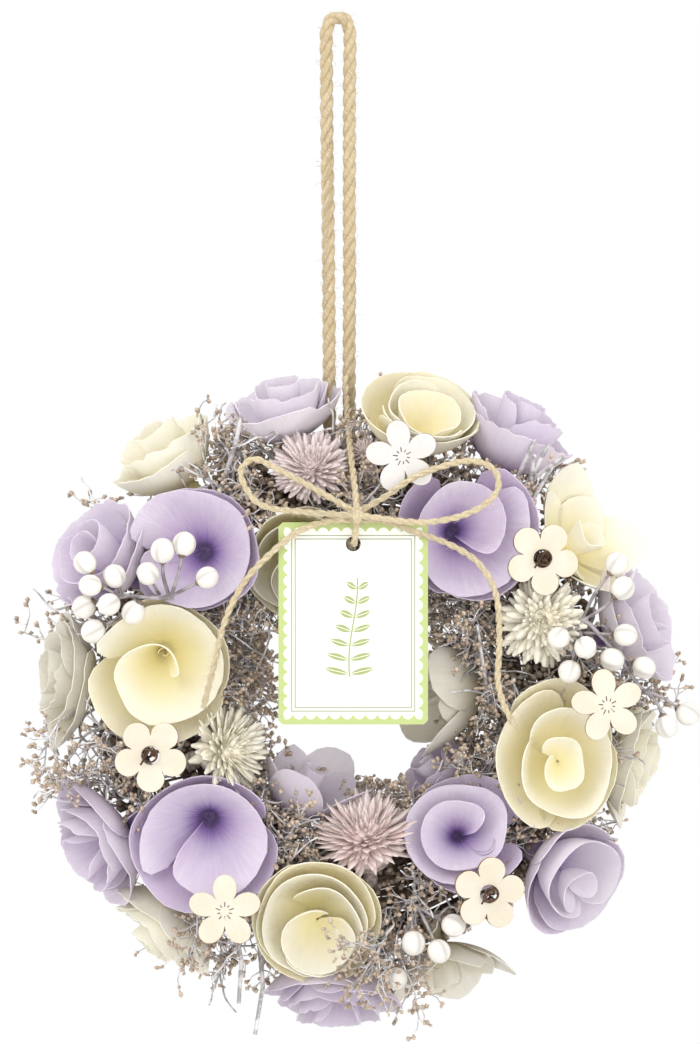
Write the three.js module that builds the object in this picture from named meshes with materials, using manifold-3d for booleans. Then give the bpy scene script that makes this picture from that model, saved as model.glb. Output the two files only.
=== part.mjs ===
// A dried flower wreath that hangs from a loop of jute rope, in millimetres.
// X runs to the right, Y to the back and Z up. The origin is the inner top of the rope loop.
// A place on the wreath is given as a clock angle in degrees (0 at the top, clockwise from the front),
// a distance out from the ring's centre, and a distance to the front of the ring's middle plane.
import * as THREE from 'three';
import { ConvexGeometry } from 'three/addons/geometries/ConvexGeometry.js';
import { mergeVertices } from 'three/addons/utils/BufferGeometryUtils.js';
import Module from 'manifold-3d';

const wasm = await Module();
wasm.setup();

// Driving dimensions
const GAP = 0.3;
const RING = {
  x: 5, z: -253.5, radius: 76, tube: 15, lobes: 5, lobeDepth: 0.8, twist: 3, steps: 24, sides: 10,
};
const PETAL = {
  thickness: 0.8, rootHeight: 0.3, rootSink: 0.6, rootInner: 0.07, rootOuter: 0.2, collar: 2.6,
  fullness: 1.04,
};
const STUB = { radius: 4.8, sides: 4, sunk: 3 };
const ROPE = { radius: 2.6, sides: 8 };
const TWINE = { radius: 1.25, sides: 8 };
const KNOT = { x: 7, y: -51.4, z: -185.5, wide: 4.6, deep: 3.4, tall: 4 };
const TAG = {
  x: 5.7, top: -188, width: 55.5, height: 75, thickness: 0.8, front: 47.4, holeDrop: 8, hole: 2.8,
  corner: 1.5,
};
const CUTOUT = { radius: 13.5, thickness: 2, petals: 5, waist: 5.4, outlinePoints: 5 };
const WIRE = { radius: 0.6, sides: 4, bead: 3.2 };
const BERRY = { radius: 4.4, stem: 0.7, stemSides: 3, sides: 4 };
const BRANCH = { stem: 0.6, floret: 2.6, floretAt: 0.6 };
const TWIG = { radius: 1.2, sides: 3 };

// Small helpers for points and angles
const TAU = Math.PI * 2;
const radians = (degrees) => (degrees * Math.PI) / 180;
const point = (x, y, z) => new THREE.Vector3(x, y, z);
const ringCentre = point(RING.x, 0, RING.z);
const outward = (clock) => point(Math.sin(radians(clock)), 0, Math.cos(radians(clock)));

// The point at a clock angle, a distance out from the ring's centre and a distance to the front.
function place(clock, out, front) {
  return ringCentre.clone().addScaledVector(outward(clock), out).add(point(0, -front, 0));
}

// The point on the ring's tube, where around is 0 in front, 90 outside, 180 behind and -90 inside.
function seat(clock, around, lift = 0) {
  const away = outward(clock).multiplyScalar(Math.sin(radians(around)));
  away.y = -Math.cos(radians(around));
  return place(clock, RING.radius, 0).addScaledVector(away, RING.tube + lift);
}

// Repeatable random numbers from 0 to 1.
function randomFrom(seed) {
  let state = seed >>> 0;
  return () => {
    state = (Math.imul(state, 1664525) + 1013904223) >>> 0;
    return state / 4294967296;
  };
}

// A solid from points and triangles, turned to face out.
function solidFrom(points, triangles) {
  const vertProperties = new Float32Array(points.flatMap((p) => [p.x, p.y, p.z]));
  const make = (faces) =>
    new wasm.Manifold(new wasm.Mesh({ numProp: 3, vertProperties, triVerts: new Uint32Array(faces.flat()) }));
  const solid = make(triangles);
  return solid.volume() > 0 ? solid : make(triangles.map(([a, b, c]) => [a, c, b]));
}

function solidOf(geometry) {
  const bare = geometry.clone();
  bare.deleteAttribute('normal');
  bare.deleteAttribute('uv');
  const merged = mergeVertices(bare, 1e-4);
  const at = merged.attributes.position;
  const points = Array.from({ length: at.count }, (_, i) => new THREE.Vector3().fromBufferAttribute(at, i));
  const index = merged.index.array;
  const triangles = [];
  for (let i = 0; i < index.length; i += 3) {
    triangles.push([index[i], index[i + 1], index[i + 2]]);
  }
  return solidFrom(points, triangles);
}

const joined = (solids) => wasm.Manifold.union(solids);

// The biggest body of a solid, without loose scraps and without slivers.
function mainBody(solid) {
  const bodies = solid.simplify(0.1).decompose();
  return bodies.reduce((best, body) => (body.volume() > best.volume() ? body : best));
}

// Round tubes, with one ring of vertices at each point of the route.
class Route extends THREE.CatmullRomCurve3 {
  getPointAt(u) {
    return this.getPoint(u);
  }
  getTangentAt(u) {
    return this.getTangent(u);
  }
}

function tube(points, radius, sides) {
  const section = new THREE.Shape();
  for (let i = 0; i < sides; i += 1) {
    const angle = (i / sides) * TAU;
    const corner = [Math.cos(angle) * radius, Math.sin(angle) * radius];
    if (i === 0) section.moveTo(...corner);
    else section.lineTo(...corner);
  }
  section.closePath();
  const route = new Route(points);
  const settings = { steps: points.length - 1, extrudePath: route, curveSegments: 1 };
  return solidOf(new THREE.ExtrudeGeometry(section, settings));
}

function ball(centre, radius, sides, rows) {
  return solidOf(new THREE.SphereGeometry(radius, sides, rows).translate(centre.x, centre.y, centre.z));
}

// Base ring of bundled twigs: a twisted tube with a lobed section
function twigRing(extra) {
  const { steps, sides, lobes, lobeDepth, twist } = RING;
  const points = [];
  const triangles = [];
  for (let i = 0; i < steps; i += 1) {
    const clock = (i / steps) * 360;
    for (let k = 0; k < sides; k += 1) {
      const around = (k / sides) * 360;
      const phase = lobes * radians(around) + twist * radians(clock);
      points.push(seat(clock, around, lobeDepth * Math.cos(phase) + extra));
      const next = (i + 1) % steps;
      const beside = (k + 1) % sides;
      const corners = [i * sides + k, next * sides + k, next * sides + beside, i * sides + beside];
      triangles.push([corners[0], corners[1], corners[2]], [corners[0], corners[2], corners[3]]);
    }
  }
  return solidFrom(points, triangles);
}

// A thin closed sheet about a grid of points, with both faces split alike.
function thinSheet(columns, thickness) {
  const wide = columns.length;
  const tall = columns[0].length;
  const points = [];
  const triangles = [];
  for (const side of [0.5, -0.5]) {
    for (let i = 0; i < wide; i += 1) {
      for (let j = 0; j < tall; j += 1) {
        const along = columns[Math.min(i + 1, wide - 1)][j].clone().sub(columns[Math.max(i - 1, 0)][j]);
        const up = columns[i][Math.min(j + 1, tall - 1)].clone().sub(columns[i][Math.max(j - 1, 0)]);
        const normal = along.cross(up).normalize();
        points.push(columns[i][j].clone().addScaledVector(normal, side * thickness));
      }
    }
  }
  const front = (i, j) => i * tall + j;
  const back = (i, j) => wide * tall + i * tall + j;
  const quad = (a, b, c, d) => triangles.push([a, b, c], [a, c, d]);
  for (let i = 0; i + 1 < wide; i += 1) {
    for (let j = 0; j + 1 < tall; j += 1) {
      quad(front(i, j), front(i + 1, j), front(i + 1, j + 1), front(i, j + 1));
      triangles.push([back(i, j), back(i + 1, j + 1), back(i + 1, j)]);
      triangles.push([back(i, j), back(i, j + 1), back(i + 1, j + 1)]);
    }
    quad(front(i + 1, 0), front(i, 0), back(i, 0), back(i + 1, 0));
    quad(front(i, tall - 1), front(i + 1, tall - 1), back(i + 1, tall - 1), back(i, tall - 1));
  }
  for (let j = 0; j + 1 < tall; j += 1) {
    quad(front(0, j), front(0, j + 1), back(0, j + 1), back(0, j));
    quad(front(wide - 1, j + 1), front(wide - 1, j), back(wide - 1, j), back(wide - 1, j + 1));
  }
  return solidFrom(points, triangles);
}

// Blooms: petals of one shaving, wound outwards from the throat in a spiral.
// core is the throat's share of the radius, drop how much lower the outer rim stands, flare how far
// it opens, notch how deep the rim dips between petals, and bulge how far the petals stand out there.
// spans is the number of facets across a petal: 3 make a round petal and 2 a pointed one.
const FORMS = {
  cup: { petals: 5, turns: 1.8, spans: 3, core: 0.16, drop: 0.06, flare: 0.15, notch: 0.12, bulge: 0.04 },
  nested: { petals: 6, turns: 2.2, spans: 3, core: 0.2, drop: 0.1, flare: 0.1, notch: 0.1, bulge: 0.03 },
  stacked: { petals: 4, turns: 1.42, spans: 3, core: 0.45, drop: 0.3, flare: 0.35, notch: 0.16, bulge: 0.05 },
  rolled: { petals: 4, turns: 1.5, spans: 3, core: 0.4, drop: 0.28, flare: 0.3, notch: 0.2, bulge: 0.04 },
  lily: { petals: 6, turns: 1.35, spans: 2, core: 0.55, drop: 0.1, flare: 0.7, notch: 0.45, bulge: 0.06 },
};
// The turns lie closer together towards the rim by this power.
const WINDING = 2.3;
const PROFILE = [0, 0.5, 1];

// Each row: name, colour, clock angle, distance out, distance to the front, radius, seat and form.
const BLOOMS = [
  ['cream_bloom_08', 'cream', 278, 71.5, 44, 25.5, [278, -3], 'cup'],
  ['lilac_bloom_03', 'lilac', 34, 77, 44, 25.5, [34, 0], 'cup'],
  ['cream_bloom_03', 'cream', 106, 80.5, 44.5, 25, [106, 4], 'cup'],
  ['cream_bloom_06', 'cream', 189, 85, 42.5, 23, [189, 8], 'nested'],
  ['lilac_bloom_08', 'lilac', 225, 77, 43, 25.5, [225, 0], 'cup'],
  ['lilac_bloom_05', 'lilac', 140, 65, 40, 20.5, [139, -14], 'cup'],
  ['lilac_bloom_10', 'lilac', 312, 81.5, 40, 24.5, [312, 6], 'cup'],
  ['cream_bloom_11', 'aged', 339, 53, 34, 20, [338, -70], 'cup'],
  ['cream_bloom_01', 'cream', 14, 116, 27, 21.5, [13, 64], 'nested'],
  ['lilac_bloom_06', 'lilac', 129, 112, 29, 21, [130, 62], 'cup'],
  ['lilac_bloom_11', 'lilac', 300, 117, 26, 22.5, [299, 62], 'cup'],
  ['cream_bloom_02', 'cream', 55, 113, 24, 24, [56, 64], 'lily'],
  ['lilac_bloom_09', 'lilac', 240, 121, 18, 25, [240, 66], 'stacked'],
  ['lilac_bloom_01', 'lilac', 347, 122, 13, 21.5, [347, 74], 'stacked'],
  ['lilac_bloom_02', 'lilac', 31, 130, 12, 20, [33, 74], 'rolled'],
  ['lilac_bloom_04', 'lilac', 75, 121, 14, 25.5, [77, 74], 'stacked'],
  ['cream_bloom_09', 'aged', 274, 117, 12, 25.5, [273, 74], 'stacked'],
  ['cream_bloom_04', 'cream', 103, 118, 6, 24, [103, 84], 'stacked'],
  ['cream_bloom_10', 'cream', 323, 127, 12, 22, [322, 74], 'stacked'],
  ['cream_bloom_05', 'aged', 161, 120, 10, 22, [160, 76], 'lily'],
  ['lilac_bloom_07', 'lilac', 183, 124, 10, 26, [183, 80], 'stacked'],
  ['cream_bloom_07', 'cream', 219, 123, 6, 22, [218, 82], 'rolled'],
  ['cream_bloom_12', 'aged', 86, 20, 16, 18.5, [87, -72], 'stacked'],
  ['lilac_bloom_12', 'lilac', 208, 24, 17, 17, [206, -72], 'cup'],
  ['lilac_bloom_13', 'lilac', 131, 34, 12, 14, [133, -80], 'rolled'],
].map(([name, tint, clock, out, front, radius, seatAt, form]) => (
  { name, tint, clock, out, front, radius, seat: seatAt, form }
));

// The frame of a stalked thing: its Z axis points from its seat on the ring to its face.
function stand(from, to) {
  const axis = to.clone().sub(from);
  const height = axis.length();
  axis.normalize();
  const side = point(0, 0, 1).cross(axis).normalize();
  const up = axis.clone().cross(side);
  return { height, matrix: new THREE.Matrix4().makeBasis(side, up, axis).setPosition(from) };
}

function petalColumns(form, radius, height) {
  const columns = [];
  const count = form.petals * form.spans;
  for (let i = 0; i <= count; i += 1) {
    const along = i / count;
    const angle = TAU * form.turns * along;
    const between = i % form.spans === 0 ? 1 : 0;
    const reach = 1 - form.notch * between;
    const wound = 1 - (1 - along) ** WINDING;
    const rim = radius * PETAL.fullness * (form.core + (1 - form.core) * wound - form.bulge * between);
    const root = radius * (PETAL.rootInner + (PETAL.rootOuter - PETAL.rootInner) * along);
    const foot = height * PETAL.rootHeight;
    const top = height * (1 - form.drop * along);
    columns.push(PROFILE.map((share) => {
      const v = share * reach;
      const open = Math.sin((v * Math.PI) / 2) * (1 - form.flare) + v * v * form.flare;
      const distance = root + (rim - root) * open;
      const rise = foot + (top - foot) * (1 - Math.cos((v * Math.PI) / 2));
      return point(Math.cos(angle) * distance, Math.sin(angle) * distance, rise);
    }));
  }
  return columns;
}

// The stub that the petals are rooted in. Its foot runs into the ring, which is then cut away.
function stub(topRadius, topHeight, extra) {
  const profile = [
    new THREE.Vector2(0, -STUB.sunk),
    new THREE.Vector2(STUB.radius + extra, -STUB.sunk),
    new THREE.Vector2(topRadius + extra, topHeight),
    new THREE.Vector2(0, topHeight),
  ];
  return new THREE.LatheGeometry(profile, STUB.sides).rotateX(Math.PI / 2);
}

// A solid about some points that stands clear of them on every side.
function envelope(points, clearance) {
  const middle = points.reduce((sum, p) => sum.add(p), point(0, 0, 0)).divideScalar(points.length);
  const pushed = points.map((p) => {
    const away = p.clone().sub(middle);
    return middle.clone().addScaledVector(away, 1 + clearance / Math.max(away.length(), 1));
  });
  return solidOf(new ConvexGeometry(pushed));
}

function bloom(spec) {
  const { height, matrix } = stand(seat(...spec.seat), place(spec.clock, spec.out, spec.front));
  const columns = petalColumns(FORMS[spec.form], spec.radius, height);
  for (const column of columns) {
    for (const p of column) p.applyMatrix4(matrix);
  }
  const topRadius = spec.radius * PETAL.rootOuter + PETAL.collar;
  const topHeight = height * PETAL.rootHeight + PETAL.rootSink;
  const solid = joined([
    thinSheet(columns, PETAL.thickness),
    solidOf(stub(topRadius, topHeight, 0).applyMatrix4(matrix)),
  ]);
  const around = joined([
    envelope(columns.flat(), PETAL.thickness + GAP),
    solidOf(stub(topRadius, topHeight, GAP + 0.1).applyMatrix4(matrix)),
  ]);
  return { solid, around };
}

// Dried heads: a small core with a pointed bract raised from each facet of its upper side
const HEADS = [
  {
    name: 'mauve_head', tint: 'mauve', clock: 174, out: 47, front: 34, seat: [174, -20],
    radius: 20, core: 6, detail: 1,
  },
  {
    name: 'straw_head_left', tint: 'straw', clock: 247, out: 45, front: 35, seat: [249, -20],
    radius: 17.5, core: 6.5, detail: 1,
  },
  {
    name: 'straw_head_right', tint: 'straw', clock: 68, out: 77, front: 38, seat: [68, 0],
    radius: 17.5, core: 6.5, detail: 1,
  },
  {
    name: 'pink_head', tint: 'pink', clock: 350, out: 90, front: 32, seat: [350, 10],
    radius: 15, core: 5.5, detail: 1,
  },
  {
    name: 'pink_head_small', tint: 'pink', clock: 3, out: 94, front: 26, seat: [6, 14],
    radius: 6.5, core: 3, detail: 0,
  },
];
const BRACTS = { lowest: -0.4, shorter: 0.2, flattened: 0.8 };

function driedHead(spec) {
  const { height, matrix } = stand(seat(...spec.seat), place(spec.clock, spec.out, spec.front));
  const middle = height - spec.radius * 0.35;
  const core = new THREE.IcosahedronGeometry(spec.core, spec.detail);
  const at = core.attributes.position;
  const corners = [];
  const triangles = [];
  const tips = [];
  for (let i = 0; i < at.count; i += 3) {
    const facet = [0, 1, 2].map((k) => new THREE.Vector3().fromBufferAttribute(at, i + k));
    const ids = facet.map((corner) => {
      const known = corners.findIndex((other) => other.distanceTo(corner) < 0.01);
      return known >= 0 ? known : corners.push(corner) - 1;
    });
    const away = facet[0].clone().add(facet[1]).add(facet[2]).normalize();
    if (away.z < BRACTS.lowest) {
      triangles.push(ids);
      continue;
    }
    const length = spec.radius * (1 - (BRACTS.shorter * ((i / 3) % 4)) / 3);
    const tip = away.multiplyScalar(length);
    tips.push(tip);
    triangles.push([ids[0], ids[1], tip], [ids[1], ids[2], tip], [ids[2], ids[0], tip]);
  }
  const all = [...corners, ...tips];
  const faces = triangles.map((ids) => ids.map((id) => (typeof id === 'number' ? id : all.indexOf(id))));
  for (const p of all) {
    p.z = p.z * BRACTS.flattened + middle;
    p.applyMatrix4(matrix);
  }
  const stalk = (extra) => solidOf(stub(spec.core * 0.6, middle, extra).applyMatrix4(matrix));
  const solid = joined([solidFrom(all, faces), stalk(0)]);
  const around = joined([envelope(tips, GAP + 0.3), stalk(GAP + 0.1)]);
  return { solid, around };
}

// Cut-out wooden flowers, each on its own thin wire
const CUTOUTS = [
  {
    name: 'cutout_top', tint: 'white_wood', at: point(24, -46.5, -163.5),
    turn: 100, tilt: [6, -4], seat: [14, 14], hole: 0,
  },
  {
    name: 'cutout_right', tint: 'wood', at: point(100, -48.5, -256),
    turn: 100, tilt: [0, 6], seat: [91, 12], hole: 0,
  },
  {
    name: 'cutout_low_right', tint: 'wood', at: point(56, -45, -326),
    turn: 84, tilt: [4, 14], seat: [147, 12], hole: 3,
  },
  {
    name: 'cutout_low_left', tint: 'wood', at: point(-42, -47.5, -332.5),
    turn: 90, tilt: [-6, 0], seat: [211, 12], hole: 0,
  },
  {
    name: 'cutout_left', tint: 'wood', at: point(-69.5, -47, -274.5),
    turn: 270, tilt: [0, -4], seat: [254, 2], hole: 3,
  },
  {
    name: 'cutout_upper_right', tint: 'wood', at: point(76, -41, -201.5),
    turn: 60, tilt: [0, 10], seat: [54, 14], hole: 3,
  },
];

function cutoutFrame(spec, lift) {
  const turned = new THREE.Euler(radians(90 + spec.tilt[0]), 0, radians(spec.tilt[1]), 'ZXY');
  return new THREE.Matrix4().makeRotationFromEuler(turned).setPosition(spec.at)
    .multiply(new THREE.Matrix4().makeTranslation(0, 0, lift));
}

// The outline of a five-petalled flower, with round petals that meet in a narrow waist.
function flowerShape(turn, extra) {
  const shape = new THREE.Shape();
  const { petals, radius, waist, outlinePoints } = CUTOUT;
  for (let i = 0; i < petals * outlinePoints; i += 1) {
    const share = (i % outlinePoints) / outlinePoints;
    const swell = Math.sin(share * Math.PI) ** 0.45;
    const distance = waist + (radius - waist) * swell + extra;
    const angle = radians(turn) + ((i / outlinePoints - 0.5) / petals) * TAU;
    const corner = [Math.cos(angle) * distance, Math.sin(angle) * distance];
    if (i === 0) shape.moveTo(...corner);
    else shape.lineTo(...corner);
  }
  shape.closePath();
  return shape;
}

function cutout(spec, extra = 0) {
  const shape = flowerShape(spec.turn, extra);
  if (spec.hole > 0 && extra === 0) {
    shape.holes.push(new THREE.Path().absarc(0, 0, spec.hole, 0, TAU, true));
  }
  const depth = CUTOUT.thickness + 2 * extra;
  const slab = new THREE.ExtrudeGeometry(shape, { depth, steps: 1, bevelEnabled: false, curveSegments: 8 });
  return solidOf(slab.translate(0, 0, -depth / 2).applyMatrix4(cutoutFrame(spec, 0)));
}

// The wire ends on the wood's back, or runs through its hole to a bead in front.
function cutoutWire(spec, extra = 0) {
  const back = CUTOUT.thickness / 2 + GAP + WIRE.radius;
  const foot = seat(spec.seat[0], spec.seat[1], -STUB.sunk);
  const knee = seat(spec.seat[0], spec.seat[1], 9);
  const inFrame = (x, y, z) => point(x, y, z).applyMatrix4(cutoutFrame(spec, 0));
  if (spec.hole > 0) {
    const proud = Math.sqrt((WIRE.bead + GAP) ** 2 - spec.hole ** 2);
    const bead = inFrame(0, 0, CUTOUT.thickness / 2 + proud);
    const path = [foot, knee, inFrame(0, 0, -9), inFrame(0, 0, -2), bead];
    return joined([tube(path, WIRE.radius + extra, WIRE.sides), ball(bead, WIRE.bead + extra, 6, 4)]);
  }
  const path = [foot, knee, inFrame(-6, 0, -7), inFrame(-3, 0, -back), inFrame(5, 0, -back)];
  return tube(path, WIRE.radius + extra, WIRE.sides);
}

// Berry sprays: a root on the ring, forks, and a stem from a fork to each berry
const SPRAYS = [
  {
    name: 'berry_spray_left',
    seat: [297, 16],
    forks: [point(-62, -46, -216), point(-84, -43, -215)],
    berries: [
      [1, point(-94, -43, -203)], [1, point(-92, -46, -211.5)], [1, point(-83, -44, -208)],
      [1, point(-94.5, -41, -219.5)], [1, point(-85, -47, -218.5)], [1, point(-76, -45, -221.5)],
      [1, point(-91, -43, -228.5)], [0, point(-70.5, -48, -207)], [0, point(-57, -48, -196)],
      [0, point(-65, -49, -198.5)], [0, point(-48.5, -47, -208.5)],
    ],
  },
  {
    name: 'berry_spray_right',
    seat: [80, 12],
    forks: [point(91, -38, -224.5), point(114, -36, -251)],
    berries: [
      [0, point(106, -38, -212.5)], [0, point(104, -36, -203.5)], [0, point(82, -46, -231)],
      [0, point(92, -46, -234.5)], [0, point(107, -41, -230)], [0, point(102, -42.5, -239)],
      [0, point(86, -45, -243.5)], [0, point(114, -39, -242)], [1, point(130.5, -34, -259.5)],
      [1, point(122.5, -37, -264)],
    ],
  },
  {
    name: 'berry_spray_low',
    seat: [166, 10],
    forks: [point(30, -38, -331)],
    berries: [
      [0, point(28, -42, -344.5)], [0, point(37.5, -43, -347.5)], [0, point(43, -42, -338)],
      [0, point(22, -36, -358)],
    ],
  },
];

function berrySpray(spec, extra = 0) {
  const stem = BERRY.stem + extra;
  const foot = seat(spec.seat[0], spec.seat[1], -STUB.sunk);
  const knee = seat(spec.seat[0], spec.seat[1], 12);
  const solids = [tube([foot, knee, spec.forks[0]], stem + 0.2, BERRY.stemSides)];
  for (let i = 1; i < spec.forks.length; i += 1) {
    solids.push(tube([spec.forks[i - 1], spec.forks[i]], stem + 0.1, BERRY.stemSides));
  }
  spec.berries.forEach(([fork, centre], i) => {
    const before = fork > 0 ? spec.forks[fork - 1] : knee;
    const start = spec.forks[fork].clone().lerp(before, 0.02 + 0.07 * (i % 8));
    const away = centre.clone().sub(start).normalize();
    const onAxis = (share) => centre.clone().addScaledVector(away, share * BERRY.radius);
    const rings = [[start, BERRY.stem], [onAxis(-1), BERRY.stem]];
    for (const share of [-0.5, 0.5]) {
      rings.push([onAxis(share), BERRY.radius]);
    }
    solids.push(swellingTube([...rings, [onAxis(1), BERRY.radius * 0.25]], BERRY.sides, extra));
  });
  return joined(solids);
}

// Rope and twine: each route is a list of points that the cord runs through
const ROPE_ROUTE = [
  point(2.6, -3.3, -196.2), point(3, -14.6, -189.8), point(3.4, -19, -177.5), point(3.8, -15.4, -166.4),
  point(4.1, -8, -159.6), point(4.2, -1.8, -150), point(4.2, 0, -136), point(4.3, 0, -104),
  point(4.3, 0, -72), point(4.3, 0, -40), point(4.4, 0, -14), point(4.3, 0, -2.5),
  point(3, 0, 1.6), point(0, 0, 2.9), point(-3, 0, 1.6), point(-4.3, 0, -2.5),
  point(-4.4, 0, -14), point(-4.2, 0, -40), point(-3.8, 0, -72), point(-3.5, 0, -104),
  point(-3.3, 0, -136), point(-3.3, 2, -150), point(-3.2, 8, -159.6), point(-3.1, 15.4, -166.4),
  point(-3, 19, -177.5), point(-2.9, 14.6, -189.8), point(-2.8, 4.5, -196),
];
const TWINE_ROUTES = {
  twine_strand: [
    point(2.6, -4.3, -133), point(3, -6.5, -141), point(3.8, -19, -152), point(5, -34, -164),
    point(6.4, -46, -176), point(7, -51, -184),
  ],
  twine_loop_left: [
    point(6, -50, -184), point(-7, -49.5, -176.5), point(-22, -48, -168.5), point(-31.5, -47, -164.5),
    point(-36, -46.5, -168.5), point(-34, -47.5, -175.5), point(-28.5, -49.5, -181.5),
    point(-14, -52.5, -184), point(6, -53.2, -185.5),
  ],
  twine_loop_right: [
    point(8, -50, -184), point(17.5, -49.8, -178.5), point(27, -49.8, -172), point(38, -50, -167.5),
    point(50, -49, -165.2), point(58, -48.5, -168.5), point(59.5, -48.5, -175), point(55, -49, -181),
    point(46, -51, -185.5), point(32, -53, -188), point(8, -53.4, -185.5),
  ],
  twine_tail_left: [
    point(6, -49.9, -187), point(-3, -49.9, -187.5), point(-14, -49.9, -191), point(-27.5, -48.8, -202),
    point(-35, -46.5, -210.5), point(-41.5, -45.8, -223.5), point(-46, -47.2, -241), point(-50, -47.4, -257),
  ],
  twine_tail_right: [
    point(8, -49.9, -187), point(17.5, -49.9, -187.5), point(27, -49.9, -191), point(42, -49, -196.5),
    point(52, -48, -203), point(58.5, -47.2, -214), point(60, -46.4, -231), point(59.5, -46.8, -247),
    point(61.5, -47.2, -255.5), point(65.5, -47.2, -263.5),
  ],
  tag_string: [
    point(7, -51.5, -187), point(6.3, -50.4, -194), point(6, -47, -196), point(5.9, -44, -194.6),
    point(6.2, -44.4, -187.6), point(7, -49, -184.6),
  ],
};

function knot(extra = 0) {
  const lump = new THREE.SphereGeometry(1, 8, 5);
  lump.scale(KNOT.wide + extra, KNOT.deep + extra, KNOT.tall + extra);
  return solidOf(lump.translate(KNOT.x, KNOT.y, KNOT.z));
}

// Card tag with a punched hole for its string
function tag(extra = 0) {
  const half = TAG.width / 2 + extra;
  const low = -TAG.height - extra;
  const cut = TAG.corner;
  const corners = [
    [-half, extra - cut], [-half, low + cut], [cut - half, low], [half - cut, low],
    [half, low + cut], [half, extra - cut], [half - cut, extra], [cut - half, extra],
  ];
  const card = new THREE.Shape(corners.map(([x, y]) => new THREE.Vector2(x, y)));
  if (extra === 0) {
    card.holes.push(new THREE.Path().absarc(0, -TAG.holeDrop, TAG.hole, 0, TAU, true));
  }
  const depth = TAG.thickness + 2 * extra;
  const slab = new THREE.ExtrudeGeometry(card, { depth, steps: 1, bevelEnabled: false, curveSegments: 10 });
  slab.rotateX(Math.PI / 2).translate(TAG.x, extra - TAG.front + TAG.thickness, TAG.top);
  return solidOf(slab);
}

// Filler bunches: a lumpy core of packed florets along each side of the ring's back, a twig that binds
// both behind it, and branches with swollen florets that stand out of them
const FILLERS = [
  { name: 'filler_top', from: 347, to: 411, seed: 11 },
  { name: 'filler_right', from: 419, to: 483, seed: 22 },
  { name: 'filler_low_right', from: 491, to: 555, seed: 33 },
  { name: 'filler_low_left', from: 563, to: 627, seed: 44 },
  { name: 'filler_left', from: 635, to: 699, seed: 55 },
];
const HOOP = { around: [-112, -146, -180, -214, -248], lift: 2.2 };
const CORE = { outer: 112, inner: -112, lift: 2.5, thin: 4, thick: 8, steps: 7, sides: 5 };
const HOLE_CLEAR = 34;

// A closed tube through rings that are each given by a centre and a radius.
function swellingTube(rings, sides, extra = 0) {
  const along = rings[rings.length - 1][0].clone().sub(rings[0][0]).normalize();
  const side = point(0.3, 0.5, 0.8).cross(along).normalize();
  const up = along.clone().cross(side);
  const points = [];
  const triangles = [];
  rings.forEach(([centre, radius], i) => {
    for (let k = 0; k < sides; k += 1) {
      const angle = (k / sides) * TAU;
      const corner = centre.clone().addScaledVector(side, Math.cos(angle) * (radius + extra));
      points.push(corner.addScaledVector(up, Math.sin(angle) * (radius + extra)));
      if (i === 0) continue;
      const a = (i - 1) * sides + k;
      const b = (i - 1) * sides + ((k + 1) % sides);
      triangles.push([a, b, b + sides], [a, b + sides, a + sides]);
    }
  });
  const last = points.length - sides;
  for (let k = 2; k < sides; k += 1) {
    triangles.push([0, k, k - 1], [last, last + k - 1, last + k]);
  }
  return solidFrom(points, triangles);
}

function branch(route, extra) {
  const knee = route[route.length - 2];
  const tip = route[route.length - 1];
  const rings = route.slice(0, -1).map((p) => [p, BRANCH.stem]);
  rings.push([knee.clone().lerp(tip, BRANCH.floretAt), BRANCH.floret], [tip, BRANCH.stem]);
  return swellingTube(rings, 3, extra);
}

function branchRoute(random, spec, kind) {
  const clock = spec.from + 4 + random() * (spec.to - spec.from - 8);
  const side = kind === 'outer' || kind === 'front' ? 1 : -1;
  const drift = clock + (random() - 0.5) * 16;
  const start = seat(clock, side * CORE.outer, CORE.lift + 2);
  if (kind === 'front' || kind === 'throat') {
    const out = RING.radius + side * (4 + random() * 26);
    const over = seat(clock, side * 42, 8 + random() * 6);
    return [start, seat(clock, side * 80, 6), over, place(drift, out, 30 + random() * 12)];
  }
  const out = side > 0 ? 108 + random() * 20 : HOLE_CLEAR + 6 + random() * 12;
  return [start, seat(clock, side * (100 - random() * 30), 9), place(drift, out, random() * 34 - 8)];
}

// A twig behind the ring, from one core to the other.
function hoopTwig(clock) {
  return tube(HOOP.around.map((around) => seat(clock, around, HOOP.lift)), TWIG.radius, TWIG.sides);
}

function lumpyCore(random, spec, around) {
  const rings = [];
  for (let i = 0; i <= CORE.steps; i += 1) {
    const clock = spec.from + ((spec.to - spec.from) * i) / CORE.steps;
    const radius = CORE.thin + random() * (CORE.thick - CORE.thin);
    rings.push([seat(clock, around, CORE.lift), i % CORE.steps === 0 ? CORE.thin / 2 : radius]);
  }
  return swellingTube(rings, CORE.sides);
}

const BUNCH = { tries: 90, outer: 4, inner: 2, front: 2, throat: 1 };

function filler(spec, blocked) {
  const random = randomFrom(spec.seed);
  const solids = [
    lumpyCore(random, spec, CORE.outer),
    lumpyCore(random, spec, CORE.inner),
    hoopTwig((spec.from + spec.to) / 2),
  ];
  for (const kind of ['outer', 'inner', 'front', 'throat']) {
    let grown = 0;
    for (let i = 0; i < BUNCH.tries && grown < BUNCH[kind]; i += 1) {
      const route = branchRoute(random, spec, kind);
      if (blocked(branch(route, GAP))) continue;
      solids.push(branch(route, 0));
      grown += 1;
    }
  }
  return joined(solids);
}

// Materials
const SURFACES = {
  twig: ['#8c7a66', 0.9], cream: ['#efe9c6', 0.75], lilac: ['#c3b1de', 0.75], aged: ['#dcd8bf', 0.8],
  mauve: ['#bfa9ab', 0.9], straw: ['#ece5d0', 0.9], pink: ['#cdbac6', 0.9], white_wood: ['#f5f2ea', 0.7],
  wood: ['#e9dfc8', 0.8], wire: ['#6b4a3a', 0.5], berry: ['#e9e8e6', 0.6], filler: ['#b7a79a', 0.95],
  jute: ['#c9a873', 0.95], card: ['#f6f6ea', 0.7],
};

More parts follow.
